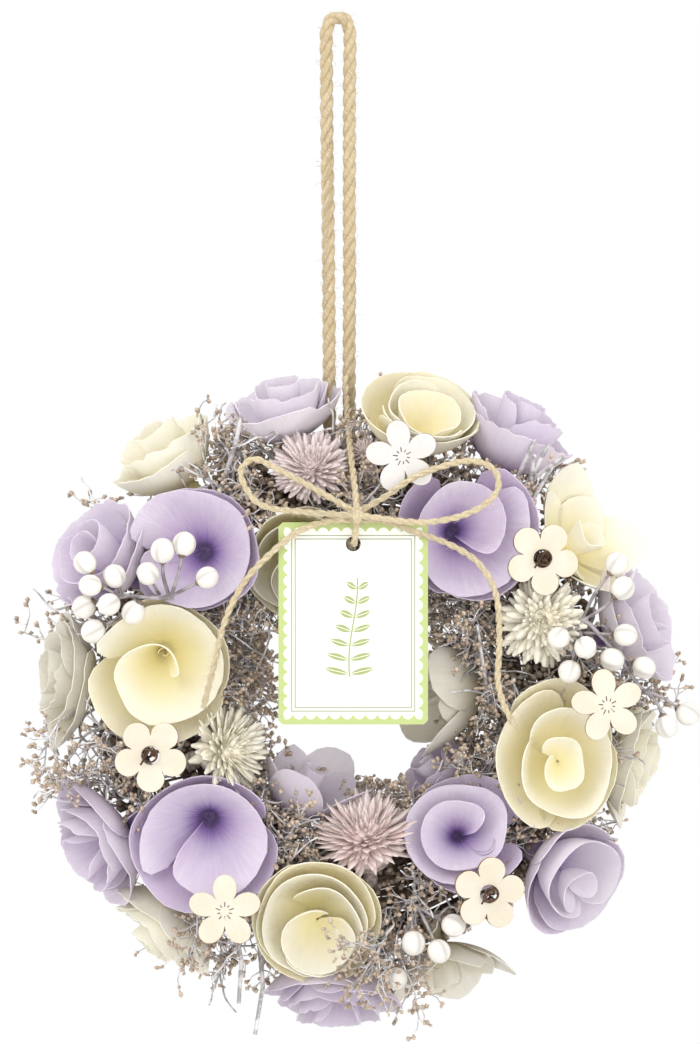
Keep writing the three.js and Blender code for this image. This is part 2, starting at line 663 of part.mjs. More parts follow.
function material(tint) {
  const [color, roughness] = SURFACES[tint];
  return new THREE.MeshStandardMaterial({ color, roughness, metalness: 0, flatShading: true });
}

// Assembly: each piece is cut clear of the ones before it, with a small gap
const wreath = new THREE.Group();
const placed = [];

const boxesMeet = (a, b) =>
  [0, 1, 2].every((axis) => a.min[axis] <= b.max[axis] && b.min[axis] <= a.max[axis]);

function neighbours(solid) {
  const box = solid.boundingBox();
  return placed.filter((other) => boxesMeet(box, other.box));
}

function addPiece(name, tint, solid, around) {
  const near = neighbours(solid);
  const body = mainBody(near.length > 0 ? solid.subtract(joined(near.map((other) => other.around))) : solid);
  const { vertProperties, triVerts } = body.getMesh();
  const geometry = new THREE.BufferGeometry();
  geometry.setAttribute('position', new THREE.BufferAttribute(vertProperties, 3));
  geometry.setIndex(new THREE.BufferAttribute(triVerts, 1));
  geometry.computeVertexNormals();
  const mesh = new THREE.Mesh(geometry, material(tint));
  mesh.name = name;
  wreath.add(mesh);
  placed.push({ name, around, box: around.boundingBox() });
}

function addCord(name, route, { radius, sides }) {
  addPiece(name, 'jute', tube(route, radius, sides), tube(route, radius + GAP, sides));
}

addPiece('base_ring', 'twig', twigRing(0), twigRing(GAP));
addCord('hanging_rope', ROPE_ROUTE, ROPE);
addPiece('twine_knot', 'jute', knot(), knot(GAP));
for (const [name, route] of Object.entries(TWINE_ROUTES)) {
  addCord(name, route, TWINE);
}
addPiece('card_tag', 'card', tag(), tag(GAP));

const behindBlooms = CUTOUTS[CUTOUTS.length - 1];
for (const spec of CUTOUTS) {
  addPiece(`${spec.name}_wire`, 'wire', cutoutWire(spec), cutoutWire(spec, GAP));
  if (spec !== behindBlooms) addPiece(spec.name, spec.tint, cutout(spec), cutout(spec, GAP));
}
for (const spec of SPRAYS) {
  addPiece(spec.name, 'berry', berrySpray(spec), berrySpray(spec, GAP));
}
for (const spec of BLOOMS) {
  const { solid, around } = bloom(spec);
  addPiece(spec.name, spec.tint, solid, around);
}
addPiece(behindBlooms.name, behindBlooms.tint, cutout(behindBlooms), cutout(behindBlooms, GAP));
for (const spec of HEADS) {
  const { solid, around } = driedHead(spec);
  addPiece(spec.name, spec.tint, solid, around);
}
for (const spec of FILLERS) {
  const meets = (solid, other) => other.name !== 'base_ring' && solid.intersect(other.around).volume() > 0;
  const blocked = (solid) => neighbours(solid).some((other) => meets(solid, other));
  const solid = filler(spec, blocked);
  addPiece(spec.name, 'filler', solid, solid);
}

export default wreath;
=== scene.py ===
"""Looks of a dried flower wreath that hangs from a loop of jute rope, in metres.

X runs to the right, Y to the back and Z up, from the inner top of the rope loop. A place on the
wreath is a clock angle in degrees (0 at the top, clockwise from the front), a distance out from
the ring's centre and a distance to the front of the ring's middle plane.
"""
import math
import random
from collections import namedtuple
from functools import partialmethod
from types import SimpleNamespace as Values

import bpy
import numpy as np
from mathutils import Matrix, Vector


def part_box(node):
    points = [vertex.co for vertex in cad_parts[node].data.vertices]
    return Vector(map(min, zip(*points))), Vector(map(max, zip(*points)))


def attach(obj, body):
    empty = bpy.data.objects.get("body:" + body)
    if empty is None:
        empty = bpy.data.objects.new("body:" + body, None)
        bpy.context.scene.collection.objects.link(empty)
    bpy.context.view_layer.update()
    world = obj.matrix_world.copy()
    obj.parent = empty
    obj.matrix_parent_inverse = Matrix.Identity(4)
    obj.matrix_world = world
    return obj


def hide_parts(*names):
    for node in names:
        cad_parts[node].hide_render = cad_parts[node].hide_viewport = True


bl_info = {
    "name": "Dried Flower Wreath",
    "version": (1, 0, 0),
    "blender": (4, 5, 0),
    "location": "3D View > Sidebar > Wreath",
    "description": "Builds a wreath of wood-shaving blooms, dried heads, berries and a jute bow",
    "category": "Object",
}

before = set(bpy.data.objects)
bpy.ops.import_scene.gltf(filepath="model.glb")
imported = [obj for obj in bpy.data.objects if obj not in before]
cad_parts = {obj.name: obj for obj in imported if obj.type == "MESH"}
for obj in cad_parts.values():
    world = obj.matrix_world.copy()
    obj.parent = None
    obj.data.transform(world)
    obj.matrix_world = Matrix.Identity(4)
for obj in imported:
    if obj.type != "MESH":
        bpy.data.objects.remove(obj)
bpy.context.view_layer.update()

MM = 0.001
TAU = 2 * math.pi
GOLDEN_ANGLE = math.pi * (3 - math.sqrt(5))
SHARP_ANGLE = math.radians(42)
# How far red, green and blue light go into a thin skin, as shares
EVEN = (1.0, 0.95, 0.85)
UP = Vector((0, 0, 1))

# The ring that everything is seated on
RING_CENTRE = Vector((0.005, 0, -0.2535))
RING_RADIUS = 0.076
RING_TUBE = 0.015


def srgb(red, green, blue):
    """A colour seen as 0 to 255, as the linear values that Blender works in."""
    def linear(value):
        value /= 255
        return value / 12.92 if value <= 0.04045 else ((value + 0.055) / 1.055) ** 2.4

    return (linear(red), linear(green), linear(blue))


def spoke(angle, reach):
    """The point at an angle and a distance from the middle of a flat drawing."""
    return math.cos(angle) * reach, math.sin(angle) * reach


def outward(clock):
    return Vector((math.sin(math.radians(clock)), 0, math.cos(math.radians(clock))))


def place(clock, out, front):
    """The point at a clock angle, a distance out and a distance to the front, both in millimetres."""
    return RING_CENTRE + outward(clock) * (out * MM) + Vector((0, -front * MM, 0))


def metres(point):
    """A point given in millimetres."""
    return tuple(round(value * MM, 7) for value in point)


def seat(clock, around, lift=0):
    """The point on the ring's tube: around is 0 in front, 90 outside, 180 behind and -90 inside."""
    away = outward(clock) * math.sin(math.radians(around))
    away.y = -math.cos(math.radians(around))
    return RING_CENTRE + outward(clock) * RING_RADIUS + away * (RING_TUBE + lift * MM)


class Stand:
    """The frame of a stalked thing, whose axis runs from its seat on the ring to its face."""

    def __init__(self, foot, face):
        self.foot = foot
        self.height = (face - foot).length
        self.axis = (face - foot).normalized()
        self.side = UP.cross(self.axis).normalized()
        self.up = self.axis.cross(self.side)

    def matrix(self):
        turned = Matrix((self.side, self.up, self.axis)).transposed().to_4x4()
        return Matrix.Translation(self.foot) @ turned


def jitter(rng, spread):
    return Vector((rng.uniform(-1, 1), rng.uniform(-1, 1), rng.uniform(-1, 1))) * spread


# Sizes and colours that a user would change
def millimetres(name, description, default):
    return bpy.props.FloatProperty(
        name=name, description=description, default=default * MM, unit="LENGTH", precision=5
    )


def colour(name, description, default):
    return bpy.props.FloatVectorProperty(
        name=name, description=description, default=srgb(*default), subtype="COLOR", min=0, max=1
    )


def amount(name, description, default):
    return bpy.props.IntProperty(name=name, description=description, default=default, min=1)


class StageSettings(bpy.types.PropertyGroup):
    lens: bpy.props.FloatProperty(
        name="Lens", description="Focal length of the camera", default=0.25, unit="LENGTH"
    )
    pixel: millimetres("Pixel size", "Size of one photograph pixel at the wreath", 0.375)
    key: bpy.props.FloatProperty(
        name="Key light", description="Power of the main soft light", default=11, subtype="POWER"
    )
    sky: bpy.props.FloatProperty(
        name="Room light", description="Strength of the even white light", default=0.72, subtype="FACTOR"
    )


class CordSettings(bpy.types.PropertyGroup):
    rope: millimetres("Rope diameter", "Diameter of the hanging rope", 5.2)
    twine: millimetres("Twine diameter", "Diameter of the bow's twine", 2.5)
    fuzz: millimetres("Fibre length", "Length of the loose fibres", 1.7)
    jute: colour("Jute", "Colour of rope and twine", (214, 186, 132))


class BloomSettings(bpy.types.PropertyGroup):
    thickness: millimetres("Shaving", "Thickness of a wood shaving", 0.4)
    lilac: colour("Lilac", "Colour of the lilac blooms", (207, 186, 216))
    cream: colour("Cream", "Colour of the cream blooms", (249, 241, 211))
    aged: colour("Aged", "Colour of the greyish cream blooms", (212, 203, 178))


class HeadSettings(bpy.types.PropertyGroup):
    bracts: amount("Bracts", "Bracts of the biggest dried head", 230)
    mauve: colour("Mauve", "Colour of the mauve head", (246, 226, 221))
    straw: colour("Straw", "Colour of the straw heads", (255, 248, 228))
    pink: colour("Pink", "Colour of the pinkish heads", (238, 221, 219))


class WoodSettings(bpy.types.PropertyGroup):
    thickness: millimetres("Plywood", "Thickness of the cut-out flowers", 2)
    wire: millimetres("Wire", "Diameter of the brown wire", 0.8)
    plain: colour("Bare wood", "Colour of the bare cut-outs", (227, 216, 195))
    white: colour("White wood", "Colour of the painted cut-out", (224, 220, 216))


class BerrySettings(bpy.types.PropertyGroup):
    diameter: millimetres("Berry", "Diameter of a berry", 8.8)
    skin: colour("Berry skin", "Colour of the berries", (238, 234, 226))


class FillerSettings(bpy.types.PropertyGroup):
    sprays: amount("Sprays", "Dried sprays in each filler bunch", 88)
    packing: amount("Packing", "Florets packed against the ring in each bunch", 1000)
    floret: millimetres("Floret", "Length of a floret", 2.4)
    stem: colour("Stem", "Colour of the silvery stems", (238, 234, 235))
    dry: colour("Floret colour", "Colour of the dried florets", (192, 153, 106))


class TagSettings(bpy.types.PropertyGroup):
    card: colour("Card", "Colour of the card", (246, 246, 237))
    print_green: colour("Print", "Colour of the printed border", (188, 203, 134))


class RingSettings(bpy.types.PropertyGroup):
    twigs: amount("Twigs", "Twigs bound into the ring", 52)
    bark: colour("Bark", "Colour of the twigs", (124, 102, 84))


# Helpers that wire node trees
class Wiring:
    """Adds nodes to a tree. A value that is a socket is linked, and any other is set."""

    def __init__(self, tree):
        self.tree = tree

    def add(self, kind, values=None, **settings):
        node = self.tree.nodes.new(kind)
        for key, value in settings.items():
            setattr(node, key, value)
        for key, value in (values or {}).items():
            self.put(node.inputs[key], value)
        return node

    def put(self, socket, value):
        if isinstance(value, bpy.types.NodeSocket):
            self.tree.links.new(value, socket)
        else:
            socket.default_value = value

    def math(self, operation, *values):
        node = self.add("ShaderNodeMath", operation=operation)
        for socket, value in zip(node.inputs, values):
            self.put(socket, value)
        return node.outputs[0]

    times = partialmethod(math, "MULTIPLY")
    plus = partialmethod(math, "ADD")
    minus = partialmethod(math, "SUBTRACT")
    under = partialmethod(math, "LESS_THAN")
    over = partialmethod(math, "GREATER_THAN")
    absolute = partialmethod(math, "ABSOLUTE")

    def vector(self, operation, *values):
        node = self.add("ShaderNodeVectorMath", operation=operation)
        for socket, value in zip(node.inputs, values):
            self.put(socket, value)
        return node.outputs["Vector"]

    def scaled(self, vector, scale):
        node = self.add("ShaderNodeVectorMath", {"Vector": vector, "Scale": scale}, operation="SCALE")
        return node.outputs["Vector"]

    def ramp(self, value, low, high, start=0.0, end=1.0, smooth=True):
        values = {"Value": value, "From Min": low, "From Max": high, "To Min": start, "To Max": end}
        kind = "SMOOTHSTEP" if smooth else "LINEAR"
        return self.add("ShaderNodeMapRange", values, interpolation_type=kind).outputs["Result"]

    def blend(self, factor, first, second):
        """Mixes two colours by a factor."""
        node = self.add("ShaderNodeMix", data_type="RGBA")
        self.put(node.inputs[0], factor)
        for socket, value in ((node.inputs[6], first), (node.inputs[7], second)):
            self.put(socket, value if isinstance(value, bpy.types.NodeSocket) else (*value, 1))
        return node.outputs[2]

    def wash(self, body, mask, share, other):
        """Lays a share of another colour over the body where the mask is."""
        return self.blend(self.times(mask, share), body, other)

    def attribute(self, name):
        return self.add("ShaderNodeAttribute", attribute_name=name).outputs["Fac"]

    def object_place(self):
        return self.add("ShaderNodeTexCoord").outputs["Object"]


class Surface(Wiring):
    """A material being wired. Constants are set on the shader's own sockets."""

    def __init__(self, name, roughness, **constants):
        self.made = bpy.data.materials.new(name)
        self.made.use_nodes = True
        super().__init__(self.made.node_tree)
        self.shader = self.tree.nodes["Principled BSDF"]
        self.put(self.shader.inputs["Roughness"], roughness)
        for label, value in constants.items():
            self.shader.inputs[label.replace("_", " ")].default_value = value

    def finished(self, body, height, strength, distance):
        """Sets the colour and the relief, in millimetres, and gives the material."""
        self.put(self.shader.inputs["Base Color"], body)
        values = {"Height": height, "Strength": strength, "Distance": distance * MM}
        self.put(self.shader.inputs["Normal"], self.add("ShaderNodeBump", values).outputs["Normal"])
        return self.made


def effect_group(name, inputs, build):
    """A shader node group that gives one mask, built once and placed in each material that needs it."""
    if name in bpy.data.node_groups:
        return bpy.data.node_groups[name]
    tree = bpy.data.node_groups.new(name, "ShaderNodeTree")
    for label, default in inputs.items():
        kind = "NodeSocketVector" if label == "Vector" else "NodeSocketFloat"
        tree.interface.new_socket(label, in_out="INPUT", socket_type=kind).default_value = default
    tree.interface.new_socket("Mask", in_out="OUTPUT", socket_type="NodeSocketFloat")
    w = Wiring(tree)
    mask = build(w, w.add("NodeGroupInput").outputs)
    w.add("NodeGroupOutput", {"Mask": mask})
    return tree


def fibre_mask(w, vector, scale, stretch):
    """Fine fibres that run along the second coordinate, as in planed wood, bark or jute."""
    def build(inner, values):
        squeezed = inner.add("ShaderNodeCombineXYZ", {"X": 1.0, "Y": values["Stretch"], "Z": 1.0}).outputs[0]
        along = inner.vector("MULTIPLY", values["Vector"], squeezed)
        looks = {"Vector": along, "Scale": values["Scale"], "Detail": 4.0, "Roughness": 0.62}
        return inner.ramp(inner.add("ShaderNodeTexNoise", looks).outputs["Fac"], 0.3, 0.7, smooth=False)

    group = effect_group("Fibre grain", {"Vector": (0, 0, 0), "Scale": 10.0, "Stretch": 0.1}, build)
    values = {"Vector": vector, "Scale": scale, "Stretch": stretch}
    return w.add("ShaderNodeGroup", values, node_tree=group).outputs["Mask"]


def mottle_mask(w, scale, low=0.4, high=0.7):
    """Soft patches where dye, dust or bleach has taken unevenly."""
    def build(inner, values):
        looks = {"Vector": inner.object_place(), "Scale": values["Scale"], "Detail": 3.0}
        noise = inner.add("ShaderNodeTexNoise", looks).outputs["Fac"]
        return inner.ramp(noise, values["Low"], values["High"])

    group = effect_group("Mottle", {"Scale": 60.0, "Low": 0.4, "High": 0.7}, build)
    values = {"Scale": scale, "Low": low, "High": high}
    return w.add("ShaderNodeGroup", values, node_tree=group).outputs["Mask"]


def shade(tint, factor):
    return tuple(min(1, max(0, value * factor)) for value in tint)


def toward(tint, other, share):
    return tuple(a + (b - a) * share for a, b in zip(tint, other))


def translucent(weight, depth):
    """Shader constants of a thin or waxy skin that lets light some millimetres in."""
    return {"Subsurface_Weight": weight, "Subsurface_Radius": EVEN, "Subsurface_Scale": depth * MM}


# What worn, dusty or bleached places fade to, and the pale of floret tips, which is dust with a painted
# highlight
BLEACH_WHITE = (0.93, 0.92, 0.9)
PAPER_WHITE = (0.9, 0.88, 0.84)
FLORET_DUST = (0.85, 0.78, 0.7)
TIP_DUST_AND_HIGHLIGHT = (0.85, 0.8, 0.74)
JUTE_PALE = (0.92, 0.84, 0.66)
BARK_SCAR = (0.6, 0.5, 0.42)
WHITE = (1, 1, 1)


def petal_surface(name, tint, deep, throat, narrow, core):
    """A dyed wood shaving: radial fibres, a throat of dye and painted shade, bleached patches and a pale cut
    rim.
    """
    w = Surface(name, 0.62, **translucent(0.4, 2), Specular_IOR_Level=0.3)
    uv = w.add("ShaderNodeUVMap", uv_map="UVMap").outputs["UV"]
    height = w.add("ShaderNodeSeparateXYZ", {"Vector": uv}).outputs["Y"]
    tone = w.attribute("tone")
    fibre = fibre_mask(w, uv, 16.0, 0.12)
    streak = w.math("POWER", fibre_mask(w, uv, 3.4, 0.5), 2.0)
    patch = mottle_mask(w, 55.0, 0.42, 0.72)
    body = w.wash(tint, patch, 0.55, toward(tint, BLEACH_WHITE, 0.55))
    body = w.wash(body, streak, 0.4, toward(tint, BLEACH_WHITE, 0.75))
    body = w.wash(body, fibre, 0.25, shade(tint, 0.8))
    # The tone of the whole shaving: paler above the middle, and on the lightened blooms that is partly
    # painted light
    body = w.blend(w.ramp(tone, 0.5, 1.5, smooth=False), body, toward(tint, BLEACH_WHITE, 0.65))
    # Deeper below the middle: on the low outer shavings this is painted warm shade
    body = w.blend(w.ramp(tone, 0.5, 0.0, 0.0, 0.8), body, deep)
    body = w.wash(body, w.ramp(height, 0.2, 0.95), 0.28, toward(tint, BLEACH_WHITE, 0.7))
    # The throat, with an edge that follows the fibres: dye at the root and painted shade deep in the funnel,
    # with a darker core that is painted shade
    ragged = w.plus(height, w.times(fibre, 0.14))
    body = w.blend(w.math("POWER", w.ramp(ragged, 0.85, 0.2, smooth=False), narrow), body, throat)
    body = w.blend(w.ramp(ragged, 0.2, 0.1), body, shade(throat, core))
    body = w.blend(w.ramp(height, 0.985, 0.998), body, toward(tint, BLEACH_WHITE, 0.2))
    w.put(w.shader.inputs["Roughness"], w.ramp(fibre, 0, 1, 0.5, 0.72, smooth=False))
    return w.finished(body, w.plus(fibre, w.times(patch, 0.6)), 0.35, 0.4)


def bract_surface(name, tint, root):
    """A dry papery bract, darker towards its root."""
    w = Surface(name, 0.85, **translucent(0.15, 1))
    fibre = fibre_mask(w, w.object_place(), 900.0, 0.3)
    body = w.wash(tint, mottle_mask(w, 140.0), 0.4, toward(tint, PAPER_WHITE, 0.5))
    body = w.wash(body, fibre, 0.15, shade(tint, 0.75))
    body = w.blend(w.ramp(w.attribute("height"), 0.6, 0.0), body, shade(tint, root))
    return w.finished(body, fibre, 0.3, 0.3)


def wood_surface(name, tint):
    """Thin plywood cut by laser: a faint grain across the whole piece."""
    w = Surface(name, 0.6, Specular_IOR_Level=0.3)
    grain = fibre_mask(w, w.object_place(), 700.0, 0.2)
    body = w.wash(tint, grain, 0.3, shade(tint, 0.8))
    body = w.wash(body, mottle_mask(w, 90.0), 0.3, toward(tint, WHITE, 0.5))
    return w.finished(body, grain, 0.2, 0.2)


def stem_surface(name, tint, roughness, metallic=0.0):
    """Painted or bare stems and wire with worn, darker patches."""
    w = Surface(name, roughness, Metallic=metallic)
    body = w.blend(mottle_mask(w, 260.0, 0.42, 0.62), tint, shade(tint, 0.5))
    return w.finished(body, mottle_mask(w, 900.0), 0.3, 0.3)


def floret_surface(name, tint):
    """Dusty dried florets, each of its own tone from brown to nearly white. The darkest tones are painted
    shade on the packed florets, and the pale tips are dust with a painted highlight.
    """
    w = Surface(name, 0.55)
    body = w.blend(w.attribute("tone"), shade(tint, 0.2), toward(tint, FLORET_DUST, 0.45))
    # Pale tips of each floret: dust with a painted highlight
    body = w.wash(body, w.ramp(w.attribute("height"), 0.35, 1.0), 0.5, toward(tint, TIP_DUST_AND_HIGHLIGHT, 0.6))
    return w.finished(body, mottle_mask(w, 1200.0), 0.4, 0.3)


def berry_surface(name, tint):
    """A chalky white coat with grey in the seams."""
    w = Surface(name, 0.5, **translucent(0.2, 2))
    body = w.wash(tint, mottle_mask(w, 320.0, 0.5, 0.75), 0.35, shade(tint, 0.72))
    body = w.blend(w.attribute("seam"), body, shade(tint, 0.45))
    return w.finished(body, mottle_mask(w, 1100.0), 0.15, 0.2)


def jute_surface(name, tint):
    """Spun jute: fibres that run along each ply, pale on top and brown between."""
    w = Surface(name, 0.85, Sheen_Weight=0.3, Sheen_Roughness=0.5)
    along = w.attribute("along")
    lay = w.plus(w.attribute("across"), w.times(along, 260.0))
    strand = w.add("ShaderNodeCombineXYZ", {"X": lay, "Y": w.times(along, 900.0)}).outputs[0]
    fibre = fibre_mask(w, strand, 7.0, 0.09)
    body = w.wash(toward(tint, JUTE_PALE, 0.45), fibre, 0.75, shade(tint, 0.5))
    body = w.wash(body, mottle_mask(w, 75.0), 0.3, shade(tint, 0.8))
    return w.finished(body, fibre, 0.8, 0.4)


def bark_surface(name, tint):
    """Bark of the bound twigs, with pale scars."""
    w = Surface(name, 0.9)
    grain = fibre_mask(w, w.object_place(), 500.0, 0.4)
    body = w.blend(w.attribute("tone"), shade(tint, 0.55), toward(tint, BARK_SCAR, 0.4))
    body = w.wash(body, grain, 0.6, shade(tint, 0.4))
    return w.finished(body, grain, 0.7, 0.6)


# The printed face of the tag, in millimetres from the tag's centre
TAG_HALF = (27.75, 37.5)
TAG_CENTRE = (0.0057, -0.2255)
BAND = Values(wide=1.9, scallop=4.5, bite=2.0, soft=0.1, backing=0.75)
FRAME_LINES = Values(places=(4.9, 6.2), wide=0.45, faint=0.75)
SPRIG = Values(
    leaves=7, low=-20.0, high=17.0, bent=1.6, longest=10.0, shortest=4.0, rise=0.42,
    fat=0.9, vein=0.025, stem=0.28,
)


def card_surface(name, card, green):
    """Coated card with a stamp-edged border, two thin frame lines and a plain leafy sprig."""
    w = Surface(name, 0.55, Specular_IOR_Level=0.3)
    coords = w.add("ShaderNodeSeparateXYZ", {"Vector": w.object_place()})
    x = w.times(w.minus(coords.outputs["X"], TAG_CENTRE[0]), 1 / MM)
    z = w.times(w.minus(coords.outputs["Z"], TAG_CENTRE[1]), 1 / MM)
    wide = w.minus(TAG_HALF[0], w.absolute(x))
    tall = w.minus(TAG_HALF[1], w.absolute(z))
    edge = w.math("MINIMUM", wide, tall)
    run = w.add("ShaderNodeMix", {"Factor": w.under(wide, tall), "A": x, "B": z}).outputs["Result"]
    turn = w.math("DIVIDE", run, BAND.scallop)
    near = w.times(w.absolute(w.minus(w.math("FRACT", turn), 0.5)), BAND.scallop)
    reach = w.minus(edge, BAND.wide + BAND.bite)
    bite = w.math("SQRT", w.plus(w.times(near, near), w.times(reach, reach)))
    inside = w.over(edge, BAND.wide + BAND.bite * BAND.backing)
    scallops = w.ramp(bite, BAND.bite + BAND.soft, BAND.bite - BAND.soft)
    body = w.blend(w.math("MAXIMUM", inside, scallops), green, card)
    for at in FRAME_LINES.places:
        off = w.absolute(w.minus(edge, at))
        line = w.ramp(off, FRAME_LINES.wide * 0.75, FRAME_LINES.wide * 0.35, 0.0, FRAME_LINES.faint)
        body = w.blend(line, body, shade(green, 0.42))
    body = w.blend(sprig_print(w, x, z), body, shade(green, 0.75))
    facing = w.add("ShaderNodeNewGeometry").outputs["Normal"]
    front = w.ramp(w.add("ShaderNodeSeparateXYZ", {"Vector": facing}).outputs["Y"], -0.4, -0.6)
    return w.finished(w.blend(front, card, body), mottle_mask(w, 1500.0), 0.08, 0.2)


def sprig_print(w, x, z):
    """A printed stem with pairs of leaves, where 1 is ink."""
    side = w.absolute(w.minus(x, w.times(w.math("SINE", w.times(z, 0.11)), SPRIG.bent)))
    leaves = float(SPRIG.leaves)
    height = w.ramp(z, SPRIG.low, SPRIG.high, 0.0, leaves, smooth=False)
    spread = w.ramp(height, 0.0, leaves, SPRIG.longest, SPRIG.shortest, smooth=False)
    share = w.math("DIVIDE", side, spread)
    off = w.absolute(w.minus(w.math("FRACT", height), w.plus(0.22, w.times(share, SPRIG.rise))))
    belly = w.times(w.times(share, w.minus(1.0, share)), SPRIG.fat)
    leaf = w.times(w.under(off, belly), w.under(share, 1.0))
    drawn = w.math("MAXIMUM", w.times(leaf, w.over(off, SPRIG.vein)), w.under(side, SPRIG.stem))
    return w.times(drawn, w.times(w.over(z, SPRIG.low), w.under(z, SPRIG.high)))


# Meshes
class Sheets:
    """Collects closed surfaces with a UV place and a tone for each point."""

    def __init__(self):
        self.points, self.uv, self.tone, self.faces, self.count = [], [], [], [], 0

    def add(self, points, uv, tone, faces):
        self.points.append(points)
        self.uv.append(uv)
        self.tone.append(np.full(len(points), tone))
        self.faces.extend((np.asarray(faces) + self.count).tolist())
        self.count += len(points)

    def mesh(self, name, material):
        made = new_mesh(name, np.concatenate(self.points).tolist(), [], self.faces)
        uv = np.concatenate(self.uv)
        corners = np.zeros(len(made.loops), np.int32)
        made.loops.foreach_get("vertex_index", corners)
        layer = made.uv_layers.new(name="UVMap")
        layer.data.foreach_set("uv", uv[corners].astype(np.float32).ravel())
        tone = made.attributes.new("tone", "FLOAT", "POINT")
        tone.data.foreach_set("value", np.concatenate(self.tone).astype(np.float32))
        made.materials.append(material)
        made.shade_smooth()
        made.set_sharp_from_angle(angle=SHARP_ANGLE)
        return made


def new_mesh(name, points, edges, faces, **layers):
    """A mesh with float layers on its points."""
    made = bpy.data.meshes.new(name)
    made.from_pydata(points, edges, faces)
    for label, values in layers.items():
        made.attributes.new(label, "FLOAT", "POINT").data.foreach_set("value", values)
    return made


def add_object(name, data):
    made = bpy.data.objects.new(name, data)
    bpy.context.scene.collection.objects.link(made)
    return made


def finish_piece(piece, node):
    """Seats a finished piece in the frame: it rides on the body and stands for its solid."""
    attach(piece, "root")
    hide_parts(node)
    return piece


def closed_sheet(grid, thickness):
    """Points and faces of a thin closed sheet about a grid of points."""
    wide, tall = grid.shape[:2]
    normal = np.cross(np.gradient(grid, axis=0), np.gradient(grid, axis=1))
    normal /= np.linalg.norm(normal, axis=2, keepdims=True) + 1e-12
    points = np.concatenate([
        (grid + normal * thickness / 2).reshape(-1, 3),
        (grid - normal * thickness / 2).reshape(-1, 3),
    ])
    front = np.arange(wide * tall).reshape(wide, tall)
    back = front + wide * tall

    def quads(a, b, c, d):
        return np.stack([a.ravel(), b.ravel(), c.ravel(), d.ravel()], axis=1)

    faces = np.concatenate([
        quads(front[:-1, :-1], front[1:, :-1], front[1:, 1:], front[:-1, 1:]),
        quads(back[:-1, :-1], back[:-1, 1:], back[1:, 1:], back[1:, :-1]),
        quads(front[1:, 0], front[:-1, 0], back[:-1, 0], back[1:, 0]),
        quads(front[:-1, -1], front[1:, -1], back[1:, -1], back[:-1, -1]),
        quads(front[0, :-1], front[0, 1:], back[0, 1:], back[0, :-1]),
        quads(front[-1, 1:], front[-1, :-1], back[-1, :-1], back[-1, 1:]),
    ])
    return points, faces


def lathe(rings, sides):
    """Points and faces of a closed turned shape, from (radius, height) pairs, low to high."""
    angle = np.arange(sides) / sides * TAU
    circle = np.stack([np.cos(angle), np.sin(angle)], axis=1)
    points = np.concatenate([
        np.concatenate([circle * radius, np.full((sides, 1), height)], axis=1) for radius, height in rings
    ])
    faces = []
    for i in range(len(rings) - 1):
        for k in range(sides):
            low, beside = i * sides + k, i * sides + (k + 1) % sides
            faces.append([low, beside, beside + sides, low + sides])
    last = (len(rings) - 1) * sides
    faces.extend([0, k, k - 1] for k in range(2, sides))
    faces.extend([last, last + k - 1, last + k] for k in range(2, sides))
    return points, faces


def triangulated(faces):
    """Each face cut into triangles that fan out from its first corner."""
    return [[face[0], face[k], face[k + 1]] for face in faces for k in range(1, len(face) - 1)]


def in_place(points, turned):
    """Points of a thing's own frame, moved by its matrix."""
    return points @ turned[:3, :3].T + turned[:3, 3]


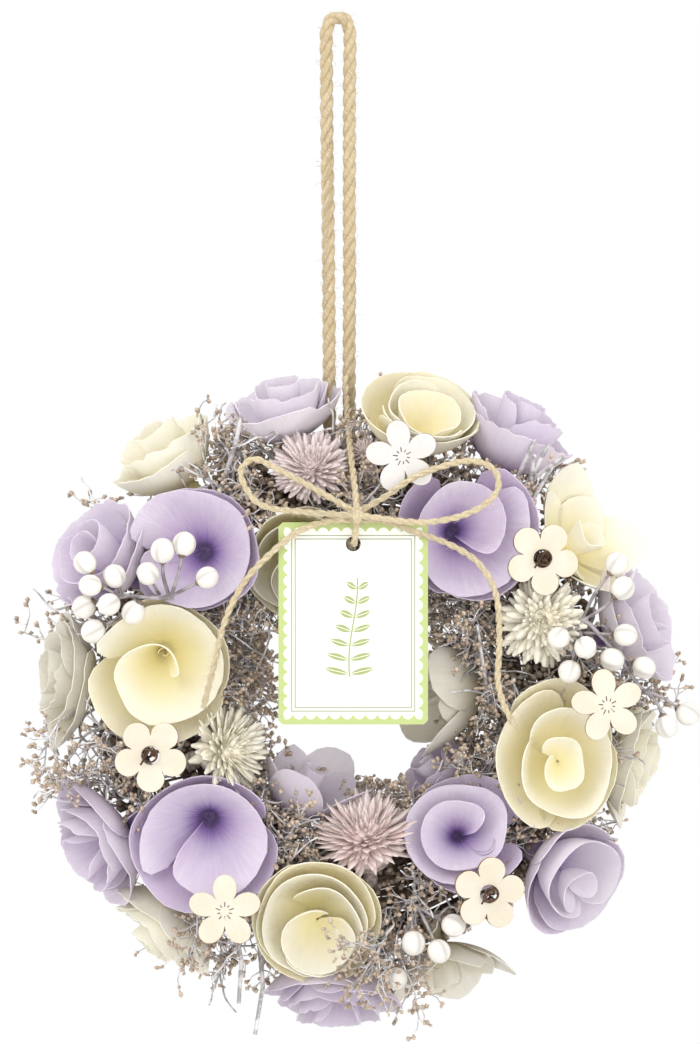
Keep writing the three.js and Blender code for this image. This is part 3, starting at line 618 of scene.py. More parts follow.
# Blooms. The face is at a clock angle, a distance out and a distance to the front. The form is turned
# by some degrees, the throat lies off the middle by some millimetres, and the stretch tells how much
# wider and taller than round the bloom is
Bloom = namedtuple(
    "Bloom", "name tint clock out front radius seat form turn throat stretch", defaults=[(0, 0), (1, 1)]
)
BLOOMS = tuple(Bloom(*row) for row in (
    ("cream_bloom_08", "cream", 278, 71.5, 44, 25.5, (278, -3), "curled", 0, (3.4, 7)),
    ("lilac_bloom_03", "lilac", 34, 77, 44, 25.5, (34, 0), "funnel", 0, (-5, -1), (0.91, 1.02)),
    ("cream_bloom_03", "cream", 106, 80.5, 44.5, 25, (106, 4), "rose", 0, (1, -2), (0.88, 1.06)),
    ("cream_bloom_06", "cream", 189, 85, 42.5, 23, (189, 8), "nested", 0, (0, -3)),
    ("lilac_bloom_08", "lilac", 225, 77, 43, 25.5, (225, 0), "spiral", 0, (0.7, 9), (1.0, 0.94)),
    ("lilac_bloom_05", "lilac", 140, 65, 40, 20.5, (139, -14), "folded", 0, (-6, 1), (1.08, 0.94)),
    ("lilac_bloom_10", "lilac", 312, 81.5, 40, 24.5, (312, 6), "open", 0, (3.7, 1.5), (0.97, 0.94)),
    ("cream_bloom_11", "cream", 339, 53, 34, 20, (338, -70), "nested", 40),
    ("cream_bloom_01", "cream", 14, 116, 27, 21.5, (13, 64), "nested", 200),
    ("lilac_bloom_06", "lilac", 129, 112, 29, 21, (130, 62), "rose", 150),
    ("lilac_bloom_11", "lilac", 300, 117, 26, 22.5, (299, 62), "rolled", 20),
    ("cream_bloom_02", "cream", 55, 113, 24, 24, (56, 64), "lily", 75, (0, 0), (1.05, 1.15)),
    ("lilac_bloom_09", "lilac", 240, 121, 18, 25, (240, 66), "stacked", 30),
    ("lilac_bloom_01", "lilac", 347, 122, 13, 21.5, (347, 74), "rolled", 100),
    ("lilac_bloom_02", "lilac", 31, 130, 12, 20, (33, 74), "rolled", 60, (0, 0), (1.05, 1.15)),
    ("lilac_bloom_04", "lilac", 75, 121, 14, 25.5, (77, 74), "rolled", 170),
    ("cream_bloom_09", "aged", 274, 117, 12, 25.5, (273, 74), "stacked", 220),
    ("cream_bloom_04", "cream", 103, 118, 6, 24, (103, 84), "stacked", 280),
    ("cream_bloom_10", "cream", 323, 127, 12, 22, (322, 74), "rolled", 340),
    ("cream_bloom_05", "aged", 161, 120, 10, 22, (160, 76), "lily", 50, (0, 0), (1.15, 1.1)),
    ("lilac_bloom_07", "lilac", 183, 124, 10, 26, (183, 80), "stacked", 75),
    ("cream_bloom_07", "cream", 219, 123, 6, 22, (218, 82), "rolled", 130),
    ("cream_bloom_12", "aged", 86, 20, 16, 18.5, (87, -72), "flared", 20),
    ("lilac_bloom_12", "lilac", 208, 24, 17, 17, (206, -72), "flared", 15),
    ("lilac_bloom_13", "lilac", 131, 34, 12, 14, (133, -80), "rolled", 250),
))
# Blooms that are paler than others
# They are paler partly by a paler dye and partly as painted light where they sit in shade
LIGHTENED_BLOOMS = ("lilac_bloom_06", "lilac_bloom_01", "lilac_bloom_04", "lilac_bloom_12")
# Colours of the shavings: the deep colour, which is painted warm shade on the low outer shavings, the
# throat's colour, which is dye with painted shade, how narrow the throat is, and how dark the painted shade
# of its core is
DYES_AND_PAINTED_SHADES = {
    "lilac": ((190, 166, 206), (134, 108, 166), 2.8, 0.4),
    "cream": ((238, 222, 166), (247, 234, 172), 1.0, 0.85),
    "aged": ((194, 184, 148), (186, 174, 136), 1.6, 0.6),
}
# Tone of a bloom's shavings: 0.5 is the dye itself, less is deeper and more is paler. The low outer shavings
# of a big bloom, whose rims are under the outer top, are made deeper as painted warm shade under those rims
TONES = {"ruled": 0.7, "wound": 0.5, "bleached": 1.1, "stray": 0.2, "outer_top": 0.93, "outer_painted_shade": 0.4}
# A small inner cup stands higher, on a neck that takes the first part of its shaving
PETAL = Values(
    foot=0.3, fullness=1.04, root=(0.025, 0.08), column=8, fewest=9, rows=11,
    raised=0.65, deep=0.35, neck=0.2, narrowed=0.4, curl_from=0.8, ripple=0.02,
)
# Rounding of a shaving's two ends: how much shorter they are, and how sharply
ENDS = {"blade": (0.5, 1.6)}
ROUND_ENDS = (0.32, 2.4)
# How a shaving is shaped: bowl (1) or cone (0), roll of the rim, waviness, and share of round corner
SHAPES = {
    "cone": (0.3, 0.03, 0.02, 0.3),
    "cup": (0.75, 0.04, 0.03, 0.4),
    "wavy": (0.8, 0.05, 0.05, 0.5),
    "roll": (0.55, 0.0, 0.015, 0.25),
    "blade": (0.6, 0.03, 0.02, 0.9),
}
# A shaving: the rim as (angle, reach) pairs, its start and end height, its shape, and lean of the rim
Shaving = namedtuple("Shaving", "rim top shape lean", defaults=["cup", (0, 0)])
FORMS = {
    "funnel": (
        Shaving(((-75, 0.3), (-50, 0.5), (0, 0.6), (90, 0.6), (150, 0.68), (205, 0.84), (255, 0.93),
                 (330, 0.96), (405, 0.97)), (1.0, 0.96), "cone"),
        Shaving(((-125, 0.93), (-60, 1.04), (20, 1.04), (70, 0.96)), (0.88, 0.84)),
        Shaving(((120, 0.94), (190, 1.01), (260, 0.97)), (0.86, 0.84)),
    ),
    "curled": (
        Shaving(((-120, 0.04), (0, 0.06), (100, 0.08), (190, 0.09)), (0.56, 0.54), "roll", (0.1, 0.24)),
        Shaving(((-40, 0.22), (20, 0.26), (80, 0.36), (120, 0.5), (180, 0.62), (240, 0.66), (300, 0.72),
                 (350, 0.84), (390, 0.92), (450, 0.95), (530, 0.97)), (1.0, 0.95), "cone", (0, -0.04)),
        Shaving(((170, 0.94), (230, 1.02), (300, 1.02), (350, 0.96)), (0.86, 0.84)),
        Shaving(((-30, 0.97), (40, 0.97), (110, 0.97), (150, 0.95)), (0.84, 0.82)),
    ),
    "rose": (
        Shaving(((130, 0.2), (200, 0.3), (280, 0.34), (360, 0.35), (440, 0.4), (510, 0.42)),
                (0.99, 0.97), "cup", (0.04, -0.12)),
        Shaving(((150, 0.58), (200, 0.7), (260, 0.78), (320, 0.83), (380, 0.77), (430, 0.68),
                 (480, 0.62), (520, 0.6)), (1.0, 0.98), "cup", (0.05, 0)),
        Shaving(((80, 0.86), (150, 0.97), (210, 0.99), (270, 0.95)), (0.9, 0.88)),
        Shaving(((0, 0.9), (50, 1.0), (100, 1.03), (150, 0.98)), (0.86, 0.84)),
        Shaving(((250, 0.94), (310, 1.0), (380, 0.96)), (0.84, 0.82)),
    ),
    "nested": (
        Shaving(((60, 0.44), (150, 0.52), (270, 0.54), (390, 0.56)), (0.98, 0.97), "cup", (0.02, -0.28)),
        Shaving(((200, 0.62), (300, 0.68), (400, 0.7), (490, 0.7)), (0.98, 0.95), "cup", (0.02, -0.18)),
        Shaving(((320, 0.74), (420, 0.82), (540, 0.82), (640, 0.82)), (0.95, 0.92), "cup", (0, -0.08)),
        Shaving(((-20, 0.86), (60, 0.92), (180, 0.92), (260, 0.9)), (0.9, 0.87), "cup", (0.02, 0.0)),
        Shaving(((100, 0.94), (220, 1.0), (330, 1.0), (420, 0.96)), (0.84, 0.8)),
    ),
    "spiral": (
        Shaving(((200, 0.42), (215, 0.58), (240, 0.68), (270, 0.76), (320, 0.84), (360, 0.86), (450, 0.88),
                 (540, 0.91), (580, 0.93)), (1.0, 0.96), "cone"),
        Shaving(((20, 0.97), (90, 1.01), (180, 1.01), (270, 1.0), (375, 0.98)), (0.88, 0.86)),
    ),
    "folded": (
        Shaving(((-70, 0.36), (-30, 0.46), (8, 0.42)), (0.86, 0.84), "roll", (0.1, -0.05)),
        Shaving(((10, 0.3), (60, 0.54), (120, 0.64), (180, 0.68), (270, 0.72), (335, 0.66), (375, 0.74),
                 (420, 0.88), (500, 0.94), (600, 0.97), (660, 0.97)), (1.0, 0.95), "cone", (-0.03, 0)),
        Shaving(((20, 1.0), (80, 1.12), (130, 1.08), (170, 0.98)), (0.76, 0.74)),
        Shaving(((180, 0.97), (270, 1.04), (350, 0.98)), (0.84, 0.82)),
    ),
    "open": (
        Shaving(((165, 0.6), (185, 0.72), (230, 0.82), (300, 0.86), (360, 0.94), (430, 0.95), (500, 0.97),
                 (535, 0.98)), (1.0, 0.95), "cone"),
        Shaving(((150, 0.3), (180, 0.46), (215, 0.34)), (0.8, 0.78), "roll", (-0.12, 0.02)),
        Shaving(((-60, 0.97), (0, 1.04), (60, 1.02), (120, 0.98)), (0.9, 0.88)),
        Shaving(((200, 0.94), (270, 0.86), (340, 0.95)), (0.76, 0.74)),
    ),
}


def stacked_form(rng):
    """Broad petals in low layers, the outer ones wider, lower and wavier."""
    made = [Shaving(((0, 0.2), (90, 0.3), (220, 0.36), (330, 0.4)), (0.99, 0.97), "roll")]
    for i in range(6):
        share = i / 5
        start = i * 137 + rng.uniform(-20, 20)
        reach = 0.5 + 0.5 * share
        rim = ((start, reach * 0.92), (start + 60, reach), (start + 130, reach), (start + 200, reach * 0.94))
        top = 0.98 - 0.26 * share
        made.append(Shaving(rim, (top, top - 0.03), "wavy"))
    return made


def rolled_form(_):
    """A tall roll in the middle with two broad wraps about it."""
    return [
        Shaving(((0, 0.14), (180, 0.28), (360, 0.38), (500, 0.46)), (1.0, 0.96), "roll"),
        Shaving(((120, 0.56), (220, 0.66), (330, 0.72)), (0.95, 0.9), "wavy"),
        Shaving(((280, 0.7), (370, 0.84), (480, 0.84)), (0.88, 0.84), "wavy"),
        Shaving(((60, 0.84), (160, 1.0), (260, 0.96)), (0.8, 0.76), "wavy"),
        Shaving(((210, 0.84), (310, 1.0), (400, 0.92)), (0.76, 0.72), "wavy"),
    ]


def lily_form(_, longest=0.98):
    """Pointed petals in two rings about a small cup."""
    made = [Shaving(((0, 0.16), (160, 0.24), (340, 0.28)), (0.86, 0.84), "roll")]
    for i in range(6):
        middle = i * 137.5
        reach = longest - 0.2 * (i % 2)
        rim = tuple((middle + step, reach) for step in (-48, -24, 0, 24, 48))
        top = 0.94 - 0.1 * (i % 2)
        made.append(Shaving(rim, (top, top), "blade"))
    return made


def flared_form(rng):
    """A lily with long petals, spread over the edge of the ring's hole."""
    return lily_form(rng, longest=1.27)


# How deep the cut edge of a shaving is torn, as a share of its length
TORN = {"wavy": 0.075, "blade": 0.02}
TORN_SLIGHTLY = 0.02
RULED_FORMS = {
    "stacked": stacked_form, "rolled": rolled_form, "lily": lily_form, "flared": flared_form,
}


def softened(values):
    """A row of values with its corners rounded off and its ends kept."""
    for _ in range(4):
        values[1:-1] = (values[:-2] + 2 * values[1:-1] + values[2:]) / 4
    return values


def shaving_grid(bloom, shaving, height, rng):
    """The grid of one shaving in its bloom's own frame, with its UV places."""
    bowl, roll, wave, corner = SHAPES[shaving.shape]
    radius = bloom.radius * MM * PETAL.fullness
    first, last = shaving.rim[0][0], shaving.rim[-1][0]
    sweep = last - first
    columns = max(PETAL.fewest, int(sweep / PETAL.column) + 1)
    degrees = np.linspace(first, last, columns)
    reach = softened(np.interp(degrees, [a for a, _ in shaving.rim], [r for _, r in shaving.rim]))
    angle = np.radians(degrees + bloom.turn)
    # Waves along the rim, each with its own phase
    phase = [rng.uniform(0, TAU) for _ in range(5)]
    reach *= 1 + wave * (0.6 * np.sin(2 * angle + phase[0]) + 0.5 * np.sin(5 * angle + phase[1]))
    share = (degrees - degrees[0]) / sweep
    start, end = shaving.top
    lift = start + (end - start) * share + wave * 0.6 * np.sin(3 * angle + phase[2])
    # Round ends, and a cut edge that is torn here and there
    arc = np.minimum(share, 1 - share) * math.radians(sweep) * reach
    drop, sharpness = ENDS.get(shaving.shape, ROUND_ENDS)
    longest = 1 - drop * (1 - np.clip(arc / corner, 0, 1)) ** sharpness
    torn = TORN.get(shaving.shape, TORN_SLIGHTLY)
    longest *= np.array([1 - torn * rng.random() ** 2 for _ in range(columns)])
    v = longest[:, None] * np.linspace(0, 1, PETAL.rows)[None, :]
    level, neck, narrowed = PETAL.foot, 0, 1
    if shaving.shape == "cup":
        level = max(level, min(level + PETAL.raised - reach.mean(), start - PETAL.deep))
        if level > PETAL.foot:
            neck, narrowed = PETAL.neck, PETAL.narrowed
    # How far each point is from the root to the rim, outward and up, from a cone to a bowl
    u = np.clip((v - neck) / (1 - neck), 0, 1)
    curled = np.clip((u - PETAL.curl_from) / 0.2, 0, 1) ** 2
    opened = bowl * np.sin(u * math.pi / 2) + (1 - bowl) * u + roll * curled
    climbed = bowl * (1 - np.cos(u * math.pi / 2)) + (1 - bowl) * u - roll * 0.7 * curled
    root = radius * narrowed * (PETAL.root[0] + PETAL.root[1] * reach)[:, None]
    outer = (radius * reach)[:, None]
    ripple = PETAL.ripple * radius * np.sin(4 * angle + phase[3])[:, None] * np.sin(3 * v + phase[4])
    distance = root + (outer - root) * opened + ripple * v
    base = PETAL.foot + (level - PETAL.foot) * np.minimum(1, v / PETAL.neck)
    rise = height * (base + (lift[:, None] - level) * climbed)
    shift = [bloom.throat[k] * MM * (1 - opened) + shaving.lean[k] * radius * opened for k in (0, 1)]
    grid = np.stack([
        np.cos(angle)[:, None] * distance * bloom.stretch[0] + shift[0],
        np.sin(angle)[:, None] * distance * bloom.stretch[1] + shift[1],
        rise,
    ], axis=2)
    across = (angle * reach * radius / (10 * MM))[:, None] + 0 * v
    return grid, np.stack([across, v], axis=2)


# The stalk under a bloom: millimetres, and shares of the bloom's height or of its own widest part
STUB = Values(radius=4.6, sunk=3, collar=0.6, sides=12, straight=0.12, hollow=(0.4, 0.01))
STUB_TONE = 0.25
FIBRES = Values(count=24, thin=0.12, long=(2.5, 6.5), lean=(0.3, 1.3), tone=0.3)


def throat_fibres(sheets, height, rng, matrix, throat):
    """Dark loose fibres that stand in the throat of a lilac funnel."""
    base = Vector((throat[0] * MM, throat[1] * MM, height * (PETAL.foot + 0.02)))
    for _ in range(FIBRES.count):
        angle = rng.uniform(0, TAU)
        lean = rng.uniform(*FIBRES.lean)
        aim = Vector((*spoke(angle, lean), 1)).normalized()
        tip = base + aim * rng.uniform(*FIBRES.long) * MM
        side = aim.orthogonal().normalized() * FIBRES.thin * MM
        points = [base + Matrix.Rotation(k * TAU / 3, 3, aim) @ side for k in range(3)] + [tip]
        points = np.array([matrix @ p for p in points])
        sheets.add(points, np.zeros((4, 2)), FIBRES.tone, [[0, 1, 3], [1, 2, 3], [2, 0, 3], [0, 2, 1]])


def stand_of(row):
    return Stand(seat(*row.seat), place(row.clock, row.out, row.front))


def build_bloom(bloom, thickness, material):
    rng = random.Random(bloom.name)
    stand = stand_of(bloom)
    matrix = stand.matrix()
    turned = np.array(matrix)
    ruled = bloom.form in RULED_FORMS
    shavings = RULED_FORMS[bloom.form](rng) if ruled else FORMS[bloom.form]
    # Lightened blooms get a paler tone: partly their paler dye, partly painted light
    dye = TONES["bleached" if bloom.name in LIGHTENED_BLOOMS else "ruled" if ruled else "wound"]
    sheets = Sheets()
    for shaving in shavings:
        grid, uv = shaving_grid(bloom, shaving, stand.height, rng)
        points, faces = closed_sheet(in_place(grid, turned), thickness)
        flat = uv.reshape(-1, 2)
        tone = dye + rng.uniform(-TONES["stray"], TONES["stray"])
        # The low outer shavings are deepened: painted warm shade under the rims above them
        if not ruled and shaving.top[0] < TONES["outer_top"]:
            tone -= TONES["outer_painted_shade"]
        sheets.add(points, np.concatenate([flat, flat]), tone, faces)
    wide = bloom.radius * MM * (PETAL.root[0] + PETAL.root[1]) + STUB.collar * MM
    narrower, lower = STUB.hollow
    points, faces = lathe([
        (STUB.radius * MM, -STUB.sunk * MM),
        (STUB.radius * MM, stand.height * STUB.straight),
        (wide, stand.height * PETAL.foot),
        (wide * narrower, stand.height * (PETAL.foot - lower)),
    ], STUB.sides)
    lean = np.clip(points[:, 2:] / (stand.height * PETAL.foot), 0, 1) * MM
    points[:, :2] += lean * np.array(bloom.throat)
    # The shaving's colour runs up the stalk, and its hollow top is painted with the shade of the throat's
    # core
    uv = np.repeat([[0, 0.3], [0, 0.3], [0, 0], [0, 0]], STUB.sides, axis=0)
    sheets.add(in_place(points, turned), uv, STUB_TONE, triangulated(faces))
    if bloom.tint == "lilac" and not ruled:
        throat_fibres(sheets, stand.height, rng, matrix, bloom.throat)
    name = bloom.name + "_petals"
    return add_object(name, sheets.mesh(name, material))


# Sprigs: stems as edges, and what grows on them as points with a size and a direction
BALL_STEPS = 8
BALL_TIP = 0.1
# A growing thing under this size, in metres, is left out
SMALLEST = 0.00001


class Skeleton:
    """Stems and growing points that the sprig tree turns into a solid plant."""

    def __init__(self):
        self.points, self.radii, self.sizes, self.tones = [], [], [], []
        self.aims, self.faces, self.edges = [], [], []

    def point(self, at, radius=0.0, size=0.0, aim=UP, face=UP, tone=0.5):
        self.points.append(at)
        self.radii.append(radius)
        self.sizes.append(size)
        self.tones.append(tone)
        self.aims.append(aim)
        self.faces.append(face)
        return len(self.points) - 1

    def stem(self, route, start, end, tone=0.5):
        """A stem through a list of points, thinning from its start to its end."""
        last = len(route) - 1
        ids = [self.point(at, start + (end - start) * i / last, tone=tone) for i, at in enumerate(route)]
        self.edges.extend(zip(ids, ids[1:]))

    def ball(self, middle, axis, radius):
        """A round core, as a short stem that swells and thins again."""
        ids = []
        for k in range(BALL_STEPS + 1):
            turn = math.pi * k / BALL_STEPS
            at = middle - axis * radius * math.cos(turn)
            ids.append(self.point(at, radius * math.sin(turn) + BALL_TIP * MM))
        self.edges.extend(zip(ids, ids[1:]))

    def mesh(self, name):
        layers = {"radius": self.radii, "size": self.sizes, "tone": self.tones}
        made = new_mesh(name, [tuple(p) for p in self.points], self.edges, [], **layers)
        for label, values in (("aim", self.aims), ("face", self.faces)):
            layer = made.attributes.new(label, "FLOAT_VECTOR", "POINT")
            layer.data.foreach_set("vector", [x for value in values for x in value])
        return made


def geometry_tree(name, inputs):
    """A geometry tree with inputs of (kind, default), its wiring and their sockets, once for each name."""
    tree = bpy.data.node_groups.new(name, "GeometryNodeTree")
    tree.is_modifier = True
    tree.interface.new_socket("Geometry", in_out="INPUT", socket_type="NodeSocketGeometry")
    for label, (kind, *default) in inputs.items():
        socket = tree.interface.new_socket(label, in_out="INPUT", socket_type="NodeSocket" + kind)
        if default:
            socket.default_value = default[0]
    tree.interface.new_socket("Geometry", in_out="OUTPUT", socket_type="NodeSocketGeometry")
    w = Wiring(tree)
    return w, w.add("NodeGroupInput").outputs, w.add("NodeGroupOutput").inputs["Geometry"]


def named(w, name, kind="FLOAT"):
    return w.add("GeometryNodeInputNamedAttribute", {"Name": name}, data_type=kind).outputs["Attribute"]


def stored(w, geometry, name, value):
    values = {"Geometry": geometry, "Name": name, "Value": value}
    return w.add("GeometryNodeStoreNamedAttribute", values, data_type="FLOAT").outputs["Geometry"]


def circle(w, resolution, radius):
    values = {"Resolution": resolution, "Radius": radius}
    return w.add("GeometryNodeCurvePrimitiveCircle", values).outputs["Curve"]


def swept(w, curve, profile, scale=1.0):
    """A tube with closed ends: the profile carried along the curve."""
    values = {"Curve": curve, "Profile Curve": profile, "Scale": scale, "Fill Caps": True}
    return w.add("GeometryNodeCurveToMesh", values).outputs["Mesh"]


def painted(w, geometry, material):
    values = {"Geometry": geometry, "Material": material}
    return w.add("GeometryNodeSetMaterial", values).outputs["Geometry"]


def copied(w, points, thing, rotation, scale):
    """A real copy of a thing on each point."""
    values = {"Points": points, "Instance": thing, "Rotation": rotation, "Scale": scale}
    copies = w.add("GeometryNodeInstanceOnPoints", values).outputs["Instances"]
    return w.add("GeometryNodeRealizeInstances", {"Geometry": copies}).outputs["Geometry"]


def joined(w, *parts):
    """The parts as one geometry, shaded smooth."""
    both = w.add("GeometryNodeJoinGeometry")
    for part in parts:
        w.put(both.inputs["Geometry"], part)
    return w.add("GeometryNodeSetShadeSmooth", {"Geometry": both.outputs["Geometry"]}).outputs["Geometry"]


def sprig_tree():
    """Turns a skeleton into round stems, with a copy of the growing thing on each sized point."""
    name = "Sprig"
    if name in bpy.data.node_groups:
        return bpy.data.node_groups[name]
    w, given, result = geometry_tree(name, {
        "Growing": ("Object",), "Stem sides": ("Int", 3), "Stem material": ("Material",),
    })
    skeleton = given["Geometry"]
    stems = w.add("GeometryNodeMeshToCurve", {"Mesh": skeleton}).outputs["Curve"]
    tube = swept(w, stems, circle(w, given["Stem sides"], 1.0), named(w, "radius"))
    size = named(w, "size")
    spots = w.add("GeometryNodeMeshToPoints", {"Mesh": skeleton, "Selection": w.over(size, SMALLEST)})
    aimed = w.add("FunctionNodeAlignRotationToVector", {"Vector": named(w, "aim", "FLOAT_VECTOR")}, axis="Z")
    faced = w.add("FunctionNodeAlignRotationToVector", {
        "Rotation": aimed.outputs["Rotation"], "Vector": named(w, "face", "FLOAT_VECTOR"),
    }, axis="Y", pivot_axis="Z")
    growing = w.add("GeometryNodeObjectInfo", {"Object": given["Growing"]}).outputs["Geometry"]
    grown = copied(w, spots.outputs["Points"], growing, faced.outputs["Rotation"], size)
    w.put(result, joined(w, painted(w, tube, given["Stem material"]), grown))
    return w.tree


def run_tree(source, tree, values):
    """Puts a tree on an object, makes its result the object's own mesh and drops the modifier."""
    modifier = source.modifiers.new(tree.name, "NODES")
    modifier.node_group = tree
    for item in tree.interface.items_tree:
        if item.in_out == "INPUT" and item.name in values:
            modifier[item.identifier] = values[item.name]
    bpy.context.view_layer.update()
    graph = bpy.context.evaluated_depsgraph_get()
    made = bpy.data.meshes.new_from_object(source.evaluated_get(graph))
    source.modifiers.clear()
    source.data = made
    made.name = source.name
    return source


def grow(name, skeleton, growing, stem_material, sides=3):
    source = add_object(name, skeleton.mesh(name))
    values = {"Growing": growing, "Stem sides": sides, "Stem material": stem_material}
    return run_tree(source, sprig_tree(), values)


def template(name, points, faces, materials, face_material=None, **layers):
    """A small solid that a tree copies, with float layers on its points."""
    made = new_mesh(name, [tuple(p) for p in points], [], faces, **layers)
    for material in materials:
        made.materials.append(material)
    if face_material is not None:
        made.polygons.foreach_set("material_index", face_material)
    made.shade_smooth()
    return add_object(name, made)


def floret_template(material):
    """A dry floret: a small bell on a point, one unit long."""
    points, faces = lathe(FLORET.bell, FLORET.sides)
    return template("floret", points, faces, [material], height=[p[2] for p in points])


# Dried heads. The share is that of the biggest head's bracts. Each bract has its width as a share of
# its length, its outline of widths from root to tip, how far it strays from an even ray, and how short
# it may be
Head = namedtuple("Head", "name tint clock out front seat radius share wide widths stray shortest")
POINTED, PAPERY = (0.6, 1.0, 0.85, 0.08), (0.35, 0.75, 1.0, 0.35)
HEADS = tuple(Head(*row) for row in (
    ("mauve_head", "mauve", 174, 47, 34, (174, -20), 20, 1.0, 0.092, POINTED, 0.1, 0.76),
    ("straw_head_left", "straw", 247, 45, 35, (249, -20), 17.5, 1.0, 0.1, PAPERY, 0.13, 0.66),
    ("straw_head_right", "straw", 68, 77, 38, (68, 0), 17.5, 1.0, 0.1, PAPERY, 0.13, 0.66),
    ("pink_head", "pink", 350, 90, 32, (350, 10), 15, 1.0, 0.085, (0.7, 0.9, 0.9, 0.4), 0.07, 0.84),
    ("pink_head_small", "pink", 3, 94, 26, (6, 14), 6.5, 0.35, 0.12, (0.7, 0.9, 0.9, 0.5), 0.05, 0.88),
))
# Shade of each tint's bracts at their root
HEAD_ROOTS = {"mauve": 0.75, "straw": 1.0, "pink": 0.9}
# How far the middle of a head is under its face, as a share of its radius
HEAD_SINK = 0.35
STALK = Values(sunk=3, low=2.6, high=3.4, sides=10)
# Bracts and the core that they stand on. Those in the middle are shorter
BRACT = Values(
    core=0.55, sunk=0.2, root=0.3, bend=0.16, keel=0.35, ridge=0.4, lowest=-0.45,
    flattened=0.8, sway=0.12, shorter=0.3, rise=2.2, longest=1.06,
)


def bract_template(name, material, wide, widths):
    """A pointed, keeled bract along Z from its root to a tip at one unit."""
    points, faces, heights = [], [], []
    for i, width in enumerate(widths):
        share = i / (len(widths) - 1)
        z = BRACT.root + (1 - BRACT.root) * share
        back = BRACT.bend * share * share
        half = wide * width
        keel = half * BRACT.keel
        ridge = back + keel * BRACT.ridge
        points += [(-half, back + keel, z), (0, back - keel, z), (half, back + keel, z), (0, ridge, z)]
        heights += [share] * 4
        if i:
            low = (i - 1) * 4
            for k in range(4):
                beside = (k + 1) % 4
                faces.append((low + k, low + beside, low + 4 + beside, low + 4 + k))
    last = len(points) - 4
    faces += [(3, 2, 1, 0), (last, last + 1, last + 2, last + 3)]
    return template(name, points, faces, [material], height=heights)


def build_head(head, bracts, surface, stalk):
    rng = random.Random(head.name)
    stand = stand_of(head)
    matrix = stand.matrix()
    turned = matrix.to_3x3()
    radius = head.radius * MM
    middle = matrix @ Vector((0, 0, stand.height - radius * HEAD_SINK))
    skeleton = Skeleton()
    count = int(bracts * head.share)
    for i in range(count):
        part = (i + 0.5) / count
        level = 1 - (1 - BRACT.lowest) * part
        level_out = math.sqrt(1 - level * level)
        angle = i * GOLDEN_ANGLE + rng.uniform(-BRACT.sway, BRACT.sway)
        aim = Vector((*spoke(angle, level_out), level * BRACT.flattened))
        full = 1 - BRACT.shorter + BRACT.shorter * min(1, part * BRACT.rise)
        long = aim.length * radius * full * rng.uniform(head.shortest, BRACT.longest)
        aim = (turned @ (aim + jitter(rng, head.stray))).normalized()
        skeleton.point(middle, 0, long, aim, stand.axis)
    foot = stand.foot - stand.axis * STALK.sunk * MM
    skeleton.stem([foot, middle], STALK.low * MM, STALK.high * MM)
    skeleton.ball(middle - stand.axis * radius * BRACT.sunk, stand.axis, radius * BRACT.core)
    grown = bract_template("bract", surface, head.wide, head.widths)
    piece = grow(head.name + "_bracts", skeleton, grown, stalk, STALK.sides)
    bpy.data.objects.remove(grown)
    return piece


# Cut-out wooden flowers: the centre, turn and tilt in degrees, the wire's seat, and the hole's radius.
# Places and sizes in this table and in those of berries, cords and straws are in millimetres
Cutout = namedtuple("Cutout", "name at turn tilt seat hole")
CUTOUTS = tuple(Cutout(*row) for row in (
    ("cutout_top", (24, -46.5, -163.5), 100, (6, -4), (14, 14), 0),
    ("cutout_right", (100, -48.5, -256), 100, (0, 6), (91, 12), 0),
    ("cutout_low_right", (56, -45, -326), 84, (4, 14), (147, 12), 3.7),
    ("cutout_low_left", (-42, -47.5, -332.5), 90, (-6, 0), (211, 12), 0),
    ("cutout_left", (-69.5, -47, -274.5), 270, (0, -4), (254, 2), 3.7),
    ("cutout_upper_right", (76, -41, -201.5), 60, (0, 10), (54, 14), 3.7),
))
CUTOUT = Values(radius=13.5, petals=5, points=14, bevel=0.25, hole_points=28)
# A face that turns this far from the front is a burnt edge
EDGE_NORMAL = 0.3
# Waist and roundness of the petals, for a flower with slits and for one with a hole
PETAL_CUTS = {"slits": (4.2, 0.62), "hole": (6.4, 0.5)}
SLITS = Values(count=10, inner=1.5, outer=3.6, shorter=0.7, point=0.2, wide=0.8)


def cutout_matrix(row):
    nod, swing = row.tilt
    turned = Matrix.Rotation(math.radians(swing), 4, "Z") @ Matrix.Rotation(math.radians(90 + nod), 4, "X")
    return Matrix.Translation(Vector(metres(row.at))) @ turned


def circle_points(count, radius):
    return [spoke(k / count * TAU, radius) for k in range(count)]


def flower_outline(turn, waist, roundness):
    total = CUTOUT.petals * CUTOUT.points
    outline = []
    for i in range(total):
        share = (i % CUTOUT.points) / CUTOUT.points
        distance = waist + (CUTOUT.radius - waist) * math.sin(share * math.pi) ** roundness
        angle = math.radians(turn) + (i / CUTOUT.points - 0.5) / CUTOUT.petals * TAU
        outline.append(spoke(angle, distance))
    return outline


def slit_outlines(turn):
    outlines = []
    for i in range(SLITS.count):
        angle = math.radians(turn) + i / SLITS.count * TAU
        far = SLITS.outer - SLITS.shorter * (i % 2)
        aim, side = (math.cos(angle), math.sin(angle)), (-math.sin(angle), math.cos(angle))
        inner, tip = SLITS.inner, far + SLITS.point
        corners = ((inner, -0.5), (far, -0.5), (tip, 0), (far, 0.5), (inner, 0.5))
        outlines.append([
            tuple(aim[k] * out + side[k] * across * SLITS.wide for k in (0, 1)) for out, across in corners
        ])
    return outlines


